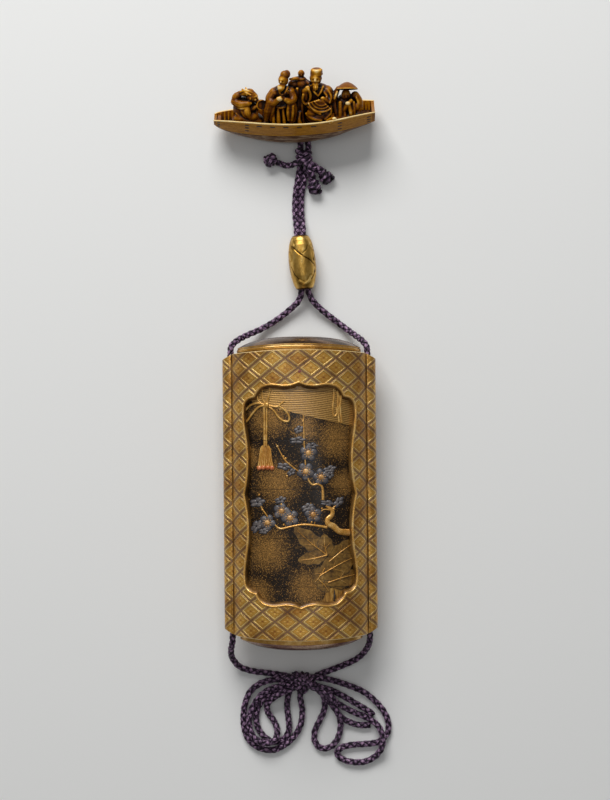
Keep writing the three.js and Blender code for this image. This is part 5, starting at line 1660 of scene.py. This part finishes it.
def leaning_man():
    """At the bow, leaning back on one arm, with a knotted cap and a small drum."""
    parts = [ball(-15.5, 3.4, 0.2, 4.1, 4.2, 3.2), ball(-14.5, -0.2, 0.6, 5.0, 2.6, 3.6),
             ball(-15.4, 4.3, 1.7, 2.5, 2.3, 2.0), ball(-13.4, 1.7, 2.3, 2.1, 1.8, 1.8),
             ball(-16.8, 0.9, 2.0, 2.5, 1.7, 1.9), ball(-13.4, 7.9, 1.4, 1.9, 1.95, 1.8),
             ball(-15.0, 9.2, 1.0, 2.4, 1.1, 1.6, (0, 0, 0.25)), ball(-13.9, 6.4, 3.3, 0.65, 0.5, 0.5)]
    features, eyes = face(-13.1, 7.8, 1.6, 1.75, turn=1.15, pale=0.2)
    parts += features
    for points, radii in [
            ([(-18.5, 6.2, 0.9), (-18.5, 7.6, 0.8), (-17.0, 8.7, 0.7)], [1.35, 1.25, 1.0]),
            ([(-18.9, 6.2, 1.2), (-17.0, 5.8, 2.6), (-14.6, 6.2, 3.2)], [1.3, 1.3, 0.95]),
            ([(-18.9, 5.1, 2.1), (-16.8, 4.7, 3.5), (-14.9, 5.1, 3.8)], [0.3, 0.36, 0.3]),
            ([(-14.9, 4.9, 3.0), (-14.8, 3.2, 3.4), (-13.9, 1.4, 3.3)], [1.1, 1.25, 0.8]),
            ([(-16.6, 3.8, 3.0), (-15.6, 2.3, 3.6), (-14.6, 1.6, 3.6)], [0.5, 0.6, 0.4]),
            ([(-18.2, 2.6, 2.4), (-16.6, 1.2, 3.3), (-14.6, 0.4, 3.6)], [0.5, 0.55, 0.4]),
            ([(-14.0, 3.8, 2.4), (-12.8, 4.6, 2.8), (-11.8, 5.2, 2.8)], [0.8, 0.7, 0.55]),
            ([(-11.6, -1.0, 2.4), (-11.7, 2.0, 2.6), (-12.0, 4.0, 2.4)], [0.6, 0.5, 0.45]),
            ([(-17.0, 9.6, 1.7), (-15.2, 10.3, 2.0), (-13.3, 9.6, 2.3)], [0.32, 0.36, 0.3]),
            ([(-16.4, 10.4, 1.3), (-15.3, 9.7, 2.3), (-13.7, 9.1, 3.0)], [0.3, 0.32, 0.28]),
            ([(-15.2, 10.9, 1.2), (-14.8, 10.0, 2.2), (-14.9, 8.9, 2.7)], [0.28, 0.3, 0.28])]:
        parts += limb(points, radii)
    bpy.ops.mesh.primitive_cylinder_add(vertices=32, radius=1.7, depth=1.5, location=(-10.5, 5.3, 1.9),
                                        rotation=(-0.25, 0.35, 0))
    parts.append(bpy.context.object)
    bpy.ops.mesh.primitive_torus_add(major_segments=32, minor_segments=8, major_radius=1.55,
                                     minor_radius=0.24, location=(-10.25, 5.5, 2.6),
                                     rotation=(-0.25, 0.35, 0))
    parts.append(bpy.context.object)
    # the pale spots on the chest and on the sleeve's roll are painted highlights
    return parts, eyes + [(-15.3, 4.6, 3.7, 1.5, -0.32), (-16.8, 5.1, 3.6, 1.3, -0.3),
                          (-14.9, 10.2, 2.4, 1.5, -0.3), (-10.3, 5.4, 2.8, 0.9, -0.12)]


def old_man():
    """Standing, with a long beard, wide hanging sleeves and an open tray."""
    parts = [robe(-4.5, 0.2, -3.0, 14.2, 4.6, 3.5, 0.72, 0.9, 13, 0.2, 0.4),
             ball(-3.2, 13.3, 1.2, 1.65, 2.0, 1.65), ball(-2.8, 14.9, 0.9, 1.45, 1.4, 1.35),
             ball(-2.1, 14.9, 0.3, 1.2, 1.4, 1.2), ball(-6.1, 9.1, 0.9, 1.7, 1.6, 1.9),
             ball(-0.9, 9.2, 0.9, 1.6, 1.5, 1.8), ball(-4.5, 8.1, 4.3, 1.15, 0.8, 0.7)]
    features, eyes = face(-3.3, 13.3, 1.2, 1.6, turn=-0.45, pale=0.3)
    parts += features
    for points, radii in [
            ([(-6.4, 9.2, 1.2), (-7.6, 7.2, 2.2), (-6.8, 6.4, 3.3), (-5.2, 7.4, 4.0)], [1.5, 1.6, 1.35, 0.8]),
            ([(-7.2, 6.6, 2.8), (-8.0, 4.0, 2.6), (-8.7, 0.8, 2.2)], [1.6, 1.7, 1.1]),
            ([(-6.2, 6.2, 3.6), (-6.8, 3.6, 3.6), (-7.3, 0.6, 3.2)], [0.6, 0.7, 0.45]),
            ([(-0.9, 9.2, 1.0), (-0.1, 7.6, 2.2), (-1.0, 6.9, 3.4), (-2.6, 7.8, 4.1)], [1.5, 1.5, 1.3, 0.7]),
            ([(-0.8, 6.8, 2.8), (-0.5, 4.0, 2.8), (-0.7, 1.0, 2.8)], [1.5, 1.8, 1.6]),
            ([(-1.6, 6.0, 3.9), (-1.8, 3.4, 4.2), (-1.6, 1.0, 4.1)], [0.5, 0.6, 0.5]),
            ([(-0.2, 5.6, 4.2), (-0.3, 3.2, 4.5), (-0.6, 1.0, 4.3)], [0.45, 0.5, 0.45]),
            ([(-4.9, 11.3, 2.2), (-4.4, 9.8, 3.0), (-3.6, 8.6, 3.3)], [0.34, 0.36, 0.3]),
            ([(-1.9, 11.2, 2.0), (-2.4, 10.0, 2.9), (-3.4, 8.8, 3.2)], [0.34, 0.36, 0.3]),
            ([(-7.0, 5.4, 2.2), (-4.4, 4.9, 3.5), (-1.6, 5.2, 3.0)], [0.4, 0.45, 0.4]),
            ([(-6.4, 4.4, 3.0), (-6.5, 2.0, 3.5), (-6.4, -1.0, 3.9)], [0.5, 0.6, 0.6]),
            ([(-5.0, 4.4, 3.3), (-4.9, 2.0, 3.8), (-4.8, -1.0, 4.2)], [0.5, 0.65, 0.7]),
            ([(-3.4, 4.4, 3.3), (-3.2, 2.0, 3.7), (-3.0, -1.0, 4.1)], [0.45, 0.6, 0.6])]:
        parts += limb(points, radii)
    for k in range(5):
        x = -4.7 + 0.42 * k
        parts += limb([(x, 12.2 - 0.1 * abs(k - 2), 2.6), (x - 0.15, 11.2, 3.1),
                       (x * 0.6 - 1.75, 10.1 + 0.2 * abs(k - 2), 3.3)],
                      [0.3, 0.32, 0.16])
    clear_selection()
    bpy.ops.mesh.primitive_cube_add(size=1, location=(-2.7, 9.6, 4.0), rotation=(0.15, 0.2, 0.5),
                                    scale=(3.5, 1.5, 0.6))
    tray = bpy.context.object
    bpy.ops.object.mode_set(mode="EDIT")
    bpy.ops.mesh.select_all(action="SELECT")
    bpy.ops.mesh.inset(thickness=0.22, depth=-0.22, use_individual=True)
    bpy.ops.object.mode_set(mode="OBJECT")
    parts.append(tray)
    return parts, eyes + [(-4.4, 8.2, 4.9, 0.95, -0.6), (-4.2, 11.6, 3.3, 0.95, -0.5),
                          (-2.7, 9.6, 4.1, 1.0, 0.22), (-2.0, 15.4, 1.0, 1.5, 0.2),
                          (-3.2, 14.4, 2.2, 0.7, -0.2), (-1.9, 7.0, 4.3, 0.7, -0.25)]


def lookout():
    """A small figure behind, on a rough post, one arm out."""
    parts = [robe(2.1, -0.6, -2.6, 13.2, 2.1, 1.9, 0.95, 0.3, 9, 0.3, 1.3),
             ball(2.9, 10.8, -1.0, 2.2, 2.6, 1.8), ball(2.5, 14.6, -1.0, 1.1, 1.25, 1.1),
             ball(2.6, 13.1, -0.8, 1.4, 0.55, 1.25), ball(0.6, 10.9, -1.5, 2.5, 1.6, 1.5),
             ball(-1.0, 13.1, -0.1, 0.5, 0.42, 0.4)]
    features, eyes = face(2.5, 14.6, -1.0, 1.05)
    parts += features
    for points, radii in [([(2.4, 12.9, -0.7), (0.8, 13.3, -0.3), (-0.8, 13.1, -0.1)], [0.8, 0.6, 0.42]),
                          ([(3.6, 12.4, -0.8), (4.9, 11.8, 0.2)], [0.8, 0.8]),
                          ([(1.2, 10.2, 1.0), (1.5, 6.0, 1.4), (1.0, 1.0, 1.7)], [0.5, 0.6, 0.6]),
                          ([(2.9, 9.6, 1.0), (2.6, 5.0, 1.4), (2.9, -1.0, 1.7)], [0.5, 0.6, 0.7]),
                          ([(0.3, 9.0, 0.2), (0.8, 4.0, 0.8), (0.4, -1.0, 1.0)], [0.6, 0.5, 0.7]),
                          ([(2.2, -1.4, 3.0), (1.6, 0.6, 2.8), (1.9, 2.6, 2.2)], [0.8, 0.6, 0.5])]:
        parts += limb(points, radii)
    lumps = random.Random(5)
    for _ in range(26):
        a, u = lumps.uniform(0, math.pi), lumps.uniform(-1.5, 10)
        parts.append(ball(2.1 + 1.9 * math.cos(a), u, -0.6 + 1.9 * math.sin(a), lumps.uniform(0.4, 0.75)))
    return parts, eyes + [(2.5, 14.9, 0.0, 1.6, 0.16), (0.0, 13.3, 0.2, 1.2, -0.1)]


def fan():
    """An open folding fan with pleats, its leaf's edges turned up."""
    middle, spread, rings = math.radians(255), 1.95, []
    angles = [middle + spread * (k / 24 - 0.5) for k in range(25)]
    for r in (0.7, 1.8, 2.8, 3.6, 4.3):
        ring = [(8.85 + r * math.cos(a), 8.2 + r * math.sin(a), 4.75 + 0.13 * (-1) ** k * min(1, r / 2.8))
                for k, a in enumerate(angles)]
        rings.append(ring + [(x, u, n - 0.7) for x, u, n in reversed(ring)])
    parts = [raise_rings("fan", rings)]
    for r, thick in ((4.3, 0.3), (3.3, 0.2), (2.3, 0.2)):
        parts += limb([(8.85 + r * math.cos(a), 8.2 + r * math.sin(a), 4.9) for a in angles[::4]],
                      [thick] * 7)
    return parts


def fan_man():
    """A large man with a flat pleated cap, a short beard and an open fan, one hand telling a string of
    beads."""
    parts = [robe(8.0, -0.4, -3.0, 14.6, 4.8, 3.9, 0.74, -0.4, 11, 0.18, 0.9),
             ball(7.1, 13.7, 0.9, 1.95, 2.3, 1.85), ball(5.4, 9.9, 0.4, 1.8, 1.8, 1.9),
             ball(10.6, 9.0, 0.4, 2.0, 2.1, 2.1), ball(8.0, 1.6, 2.0, 4.2, 2.8, 3.0),
             ball(6.2, 2.9, 3.2, 2.0, 1.9, 1.6), ball(10.4, 2.7, 3.0, 2.0, 1.9, 1.6),
             ball(6.95, 12.0, 2.3, 1.1, 0.9, 0.8), ball(4.5, 11.2, 3.0, 0.8, 0.75, 0.6),
             ball(9.3, 8.0, 4.1, 0.75, 0.7, 0.6)]
    cap = [[(7.35 + size * (1 + 0.05 * math.cos(8 * a)) * math.cos(a), up, 0.6 + size * 0.92 * math.sin(a))
            for a in (2 * math.pi * k / 40 for k in range(40))]
           for up, size in ((14.7, 1.85), (15.0, 2.02), (15.3, 1.9), (16.0, 1.85), (16.5, 1.8), (16.8, 1.45),
                            (16.75, 0.5))]
    parts.append(raise_rings("cap", cap))
    features, eyes = face(7.1, 13.7, 0.9, 1.85, turn=-0.12, pale=0.3)
    parts += features
    for points, radii in [
            ([(5.6, 11.5, 1.9), (6.6, 9.9, 2.9), (7.8, 8.6, 3.2)], [0.36, 0.4, 0.3]),
            ([(9.4, 11.2, 1.7), (8.7, 9.8, 2.7), (7.8, 8.6, 3.2)], [0.36, 0.4, 0.3]),
            ([(5.2, 9.9, 0.6), (3.7, 9.4, 1.8), (4.2, 10.6, 2.8)], [1.4, 1.25, 0.85]),
            ([(10.9, 9.2, 0.6), (11.6, 7.4, 1.6), (10.7, 6.8, 3.0), (9.5, 7.8, 3.9)], [1.8, 1.7, 1.25, 0.75]),
            ([(11.0, 10.0, 1.9), (11.9, 8.2, 2.9), (11.4, 6.6, 3.9)], [0.4, 0.45, 0.4]),
            ([(9.6, 9.6, 2.2), (10.6, 8.4, 3.1), (10.0, 7.4, 4.2)], [0.36, 0.4, 0.34]),
            ([(4.7, 10.9, 3.3), (5.4, 8.6, 3.1), (5.0, 6.6, 3.0), (3.9, 5.8, 2.9), (3.0, 7.0, 2.8),
              (3.2, 9.0, 2.9)],
             [0.5, 0.46, 0.46, 0.46, 0.46, 0.5]),
            ([(3.9, 9.4, 2.4), (4.0, 7.4, 2.2)], [0.9, 0.8]),
            ([(4.6, 5.0, 2.6), (6.2, 4.4, 4.4), (8.4, 3.2, 4.9)], [0.5, 0.55, 0.4]),
            ([(4.2, 2.6, 3.0), (6.0, 1.6, 4.6), (8.6, 1.0, 5.0)], [0.55, 0.6, 0.5]),
            ([(11.8, 5.0, 2.8), (11.6, 3.0, 4.2), (10.2, 1.4, 4.8)], [0.5, 0.55, 0.5]),
            ([(6.4, 11.5, 3.0), (6.5, 10.7, 3.2)], [0.3, 0.16]),
        ([(7.0, 11.4, 3.2), (7.0, 10.5, 3.4)], [0.32, 0.16]),
            ([(7.6, 11.5, 3.0), (7.5, 10.7, 3.2)], [0.3, 0.16])]:
        parts += limb(points, radii)
    return parts + fan(), eyes + [
        (7.35, 16.3, 2.5, 1.6, -0.34), (7.0, 11.9, 3.2, 0.8, -0.35), (7.0, 13.5, 2.8, 1.0, -0.16),
        (10.9, 9.9, 2.4, 1.3, -0.1), (6.7, 5.2, 5.2, 1.2, -0.18), (9.0, 4.2, 5.2, 1.6, -0.1),
        (4.4, 11.2, 3.6, 0.8, -0.15), (7.7, 9.9, 2.8, 0.8, 0.25)]


def hatted_man():
    """Crouching at the stern under a broad straw hat, arms up, with a bundle before him."""
    parts = [ball(16.9, 3.8, 0.4, 3.9, 4.8, 3.1), ball(16.6, 0.6, 1.4, 4.8, 2.6, 3.4),
             ball(16.7, 8.5, 1.8, 1.5, 1.8, 1.5), ball(17.3, 6.3, 4.0, 0.85, 0.7, 0.6),
             ball(20.1, 4.8, 3.2, 1.0, 1.3, 0.9), ball(19.6, 8.0, 1.2, 1.3, 1.3, 1.3)]
    # the hat is tipped back, so that its brim is seen almost from the side
    tip, hat = 0.42, []
    turns = [2 * math.pi * k / 44 for k in range(44)]
    for size, up in ((0.15, 2.3), (0.9, 2.1), (1.8, 1.65), (2.6, 1.05), (3.2, 0.45), (3.55, 0.05),
                     (3.5, -0.2), (3.1, 0.0), (2.0, 0.6), (0.6, 1.0)):
        hat.append([(17.05 + size * math.cos(a),
                     10.0 + up * math.cos(tip) + size * math.sin(a) * math.sin(tip),
                     1.0 - up * math.sin(tip) + size * math.sin(a) * math.cos(tip)) for a in turns])
    parts.append(raise_rings("hat", hat))
    features, eyes = face(16.7, 8.4, 1.8, 1.4)
    parts += features
    for points, radii in [
            ([(14.2, 10.2, 0.9), (13.4, 8.6, 1.4), (12.8, 6.8, 1.7)], [0.8, 1.0, 1.1]),
            ([(12.9, 6.4, 1.5), (13.2, 4.2, 1.8), (14.2, 1.6, 2.2)], [1.1, 1.2, 1.3]),
            ([(13.9, 9.6, 2.2), (13.0, 7.6, 2.9)], [0.4, 0.45]),
            ([(19.8, 8.3, 1.4), (20.8, 6.4, 2.0), (20.9, 4.2, 2.4)], [1.1, 1.3, 1.3]),
            ([(20.0, 7.8, 2.8), (20.6, 6.2, 3.2), (20.6, 4.4, 3.4)], [0.36, 0.42, 0.4]),
            ([(16.2, 3.8, 3.2), (17.2, 5.6, 3.6), (18.3, 7.0, 3.4)], [0.8, 0.8, 0.6]),
            ([(17.6, 5.9, 3.8), (18.2, 3.6, 4.1), (18.4, 1.4, 4.0)], [0.62, 0.66, 0.6]),
            ([(19.1, 6.4, 3.4), (19.3, 4.0, 3.8), (19.2, 2.0, 3.7)], [0.5, 0.55, 0.5]),
            ([(15.0, 6.0, 2.6), (15.0, 3.4, 3.2), (15.0, 0.6, 3.6)], [0.75, 0.8, 0.85]),
            ([(16.3, 3.4, 3.4), (16.5, 0.6, 4.0)], [0.6, 0.7]),
            ([(11.0, 1.5, 6.8), (12.0, 2.2, 7.2), (12.8, 2.5, 7.4)], [0.75, 0.7, 0.6])]:
        parts += limb(points, radii)
    parts += [ball(12.9, 2.7, 7.9, 0.75, 0.55, 0.5), ball(11.6, 1.5, 8.1, 0.6, 0.4, 0.45),
              ball(12.2, 1.9, 8.3, 0.4, 0.3, 0.3)]
    # the first spot darkens the face: painted shadow under the hat's brim
    return parts, eyes + [(16.6, 8.2, 3.4, 1.4, 0.2), (17.3, 6.4, 4.4, 0.9, -0.5),
                          (13.4, 8.6, 2.6, 1.2, -0.2), (20.3, 6.4, 3.4, 1.2, -0.2),
                          (17.05, 10.0, 4.2, 1.5, -0.25), (18.2, 3.6, 4.6, 1.2, -0.2),
                          (14.2, 9.4, 3.4, 1.3, -0.2), (12.9, 2.8, 8.2, 0.9, -0.5),
                          (19.6, 9.6, 3.6, 1.2, -0.15)]


def bend_of(points, pairs, normals, rounds):
    """How far each point stands over its surface smoothed by that many rounds."""
    smooth = points.copy()
    both = np.concatenate([pairs, pairs[:, ::-1]])
    count = np.maximum(np.bincount(both[:, 0], minlength=len(points)), 1)
    for _ in range(rounds):
        near = np.stack([np.bincount(both[:, 0], smooth[both[:, 1], k], len(points)) for k in range(3)], 1)
        smooth = 0.4 * smooth + 0.6 * near / count[:, None]
    return ((points - smooth) * normals).sum(axis=1)


def mark_stain(piece, spots, rays=12, reach=3.2):
    """Attribute stain: painted shade where short rays are stopped, dark in hollows, pale on crests, and as
    the spots say."""
    mesh = piece.data
    points = np.array([v.co for v in mesh.vertices])
    normals = np.array([v.normal for v in mesh.vertices])
    pairs = np.array([e.vertices for e in mesh.edges])
    tree = BVHTree.FromPolygons(points.tolist(), [p.vertices for p in mesh.polygons])
    rng = np.random.default_rng(3)
    occlusion_shade = np.zeros(len(points))
    for _ in range(rays):
        way = rng.standard_normal(3)
        ways = normals * 1.02 + way / np.linalg.norm(way)
        for k in range(len(points)):
            hit = tree.ray_cast(points[k] + normals[k] * 0.06, ways[k], reach)
            if hit[0] is not None:
                occlusion_shade[k] += (1 - hit[3] / reach) / rays
    fine, broad = (bend_of(points, pairs, normals, rounds) for rounds in (6, 60))
    # painted shade: the share of rays stopped near each point darkens the stain
    stain = 0.58 + 0.95 * occlusion_shade - 2.2 * fine - 0.55 * broad
    for x, up, out, size, much in spots:
        away = np.linalg.norm(points - np.array((x, up, out)), axis=1)
        stain += much * np.exp(-(away / size) ** 2 * 1.6)
    set_attribute(mesh, "stain", np.clip(stain, 0.04, 0.95))
    set_attribute(mesh, "bare", np.zeros(len(points)))


def plain_stain(piece, stain):
    """The same stain all over a piece."""
    count = len(piece.data.vertices)
    set_attribute(piece.data, "stain", np.full(count, stain))
    set_attribute(piece.data, "bare", np.zeros(count))
    return piece


PLANK = 1.45                   # width of the deck's planks
# seats from side to side of the boat: across, up, half thickness, width and stain
SEATS = [(-24.0, 0.0, 0.5, 6.2, 0.5), (12.4, 1.4, 1.3, 13.6, 0.6), (-19.4, -0.6, 0.5, 8.6, 0.6)]
RIBS = [-23.6, -22.4, -21.2, -20.0, -18.8, 20.4, 21.4, 22.4, 23.4, 24.4]


def hull_shell():
    """The hull and its deck: bare under the chine, rubbed on the gunwale, dark between the planks."""
    shell = raise_rings("hull", [hull_ring(x) for x in np.linspace(-25.5, 25.8, 84)])
    stain, bare = np.zeros(len(shell.data.vertices)), np.zeros(len(shell.data.vertices))
    for k, vertex in enumerate(shell.data.vertices):
        x, up, out = vertex.co
        beam, sheer, strake, _ = station(x)
        low = sheer - strake
        if abs(out) < beam - (sheer - up) * FLARE - 0.35 and up > low + 0.05:
            stain[k] = 0.46 + 0.1 * math.cos(2 * math.pi * x / PLANK) + (0.25 if up < sheer - 2.3 else 0.0)
        elif up < low - 0.05:
            bare[k], stain[k] = 1.0, 0.5
        elif up > sheer - 0.05:
            stain[k] = 0.12
        else:
            stain[k] = 0.27 + 0.04 * (sheer - up) / strake
    set_attribute(shell.data, "stain", stain)
    set_attribute(shell.data, "bare", bare)
    return shell


def end_board(x0, x1):
    """A board across an end of the hull, with a shallow notch in its top."""
    rings = []
    for x in (x0, x1):
        beam, sheer, _, _ = station(x)
        half = outer_half(x)
        top = [(x, sheer - 0.5 * (1 - (n / beam) ** 2), n) for n in np.linspace(-beam, beam, 9)[1:-1]]
        rings.append([(x, u, n) for u, n in half] + [(x, u, -n) for u, n in reversed(half)] + top)
    return plain_stain(raise_rings("board", rings), 0.4)


def ribs():
    """Ribs up the inside of the hull at its ends."""
    parts = []
    for x in RIBS:
        beam, sheer, _, _ = station(x)
        for side in (-1, 1):
            head = (x, sheer - 0.25, side * (beam - 0.8))
            foot = (x, sheer - 2.6, side * (beam - 0.8 - 2.3 * FLARE * 0.8))
            parts.append(plain_stain(stroke([head, foot], [0.22, 0.22], flat=1.0), 0.36))
    return parts


def seat(x, up, depth, width, stain):
    """A rounded board across the boat."""
    clear_selection()
    bpy.ops.mesh.primitive_cube_add(size=1, location=(x, up, 0), scale=(1.1, depth * 2, width))
    only(bpy.context.object)
    bpy.ops.object.transform_apply(location=True, rotation=True, scale=True)
    return plain_stain(apply_modifier(bpy.context.object, "BEVEL", width=0.14, segments=2), stain)


def rubbed_edges():
    """Pale edges along the gunwales and chines, where hands have rubbed the stain off."""
    parts = []
    for side in (-1, 1):
        for down, thick, stain in ((0.0, 0.26, 0.02), (1.0, 0.17, 0.2)):
            points = []
            for place in np.linspace(-25.7, 25.95, 60):
                x, up, out = strake_point(float(place), down)
                points.append((x, up - (0.04 if down == 0 else -0.02), side * (out - 0.12)))
            edge = stroke(points, [thick * 0.8, thick, thick, thick * 0.8], flat=1.0)
            parts.append(plain_stain(edge, stain))
    return parts


def staples(lie):
    """Dark staples let into the near strake, modelled once and copied."""
    clear_selection()
    bpy.ops.mesh.primitive_cube_add(size=1, scale=(1.0, 0.42, 0.24))
    first = only(bpy.context.object)
    bpy.ops.object.transform_apply(location=True, rotation=True, scale=True)
    apply_modifier(first, "BEVEL", width=0.08, segments=2)
    copies = []
    for x, down, half in STAPLES:
        here, ahead = Vector(strake_point(x, down)), Vector(strake_point(x + 0.5, down))
        across = (ahead - here).normalized()
        out = Vector((0, -FLARE, 1)).normalized()
        out = (out - across * out.dot(across)).normalized()
        turn = Matrix((across, out.cross(across), out)).transposed().to_4x4()
        copies.append(copy_of(first, lie @ Matrix.Translation(here) @ turn
                              @ Matrix.Diagonal((2 * half, 1, 1, 1))))
    bpy.data.objects.remove(first)
    return join_pieces("netsuke_staples", copies)


def figures():
    """The five figures, carved as one mass."""
    parts, spots = [], []
    for carve in (leaning_man, old_man, lookout, fan_man, hatted_man):
        made, marks = carve()
        parts += made
        spots += marks
    carved = only(join_pieces("netsuke_figures", parts))
    bpy.ops.object.transform_apply(location=True, rotation=True, scale=True)
    apply_modifier(carved, "REMESH", mode="VOXEL", voxel_size=0.2, use_smooth_shade=True)
    apply_modifier(carved, "SMOOTH", factor=0.5, iterations=2)
    mark_stain(carved, spots)
    return carved


class NETSUKE_OT_boat(bpy.types.Operator):
    """The boat netsuke: its hull and its five figures"""
    bl_idname = "inro.netsuke"
    bl_label = "Boat netsuke"

    def execute(self, context):
        ivory = ivory_finish()
        lie = Matrix.Translation(BOAT_PLACE) @ Matrix.Rotation(BOAT_TILT, 4, "X")
        parts = [hull_shell(), end_board(-25.7, -24.9), end_board(25.0, 25.95), *ribs()]
        parts += [seat(*each) for each in SEATS] + rubbed_edges()
        hull = join_pieces("netsuke_hull", parts)
        hull.data.transform(lie)
        finish_piece(hull, [ivory], ["netsuke"], smooth=40)
        finish_piece(staples(lie), [horn_finish()], ["netsuke"], smooth=40)
        carved = figures()
        carved.data.transform(lie)
        finish_piece(carved, [ivory], ["netsuke"], smooth=None)
        return {"FINISHED"}


class INRO_PT_panel(bpy.types.Panel):
    """Everything that builds the case"""
    bl_idname = "INRO_PT_panel"
    bl_label = "Inro case"
    bl_space_type = "VIEW_3D"
    bl_region_type = "UI"
    bl_category = "Inro"

    def draw(self, context):
        for group, kind in GROUPS.items():
            box = self.layout.box()
            for name in kind.__annotations__:
                box.prop(getattr(context.scene, group), name)
        for operator in OPERATORS:
            self.layout.operator(operator.bl_idname)


GROUPS = {"inro_stage": StageSettings, "inro_cord": CordSettings, "inro_case": CaseSettings}
OPERATORS = [STAGE_OT_studio, CORD_OT_silk, CASE_OT_sheath, CASE_OT_inner, PICTURE_OT_makie, OJIME_OT_bead,
             NETSUKE_OT_boat]


def register():
    for kind in [*GROUPS.values(), *OPERATORS, INRO_PT_panel]:
        bpy.utils.register_class(kind)
    for name, kind in GROUPS.items():
        setattr(bpy.types.Scene, name, bpy.props.PointerProperty(type=kind))


def unregister():
    for name in GROUPS:
        delattr(bpy.types.Scene, name)
    for kind in reversed([*GROUPS.values(), *OPERATORS, INRO_PT_panel]):
        bpy.utils.unregister_class(kind)


def main():
    register()
    bpy.ops.inro.studio()
    bpy.ops.inro.cords()
    bpy.ops.inro.sheath()
    bpy.ops.inro.inner()
    bpy.ops.inro.picture()
    bpy.ops.inro.bead()
    bpy.ops.inro.netsuke()


if __name__ == "__main__":
    main()
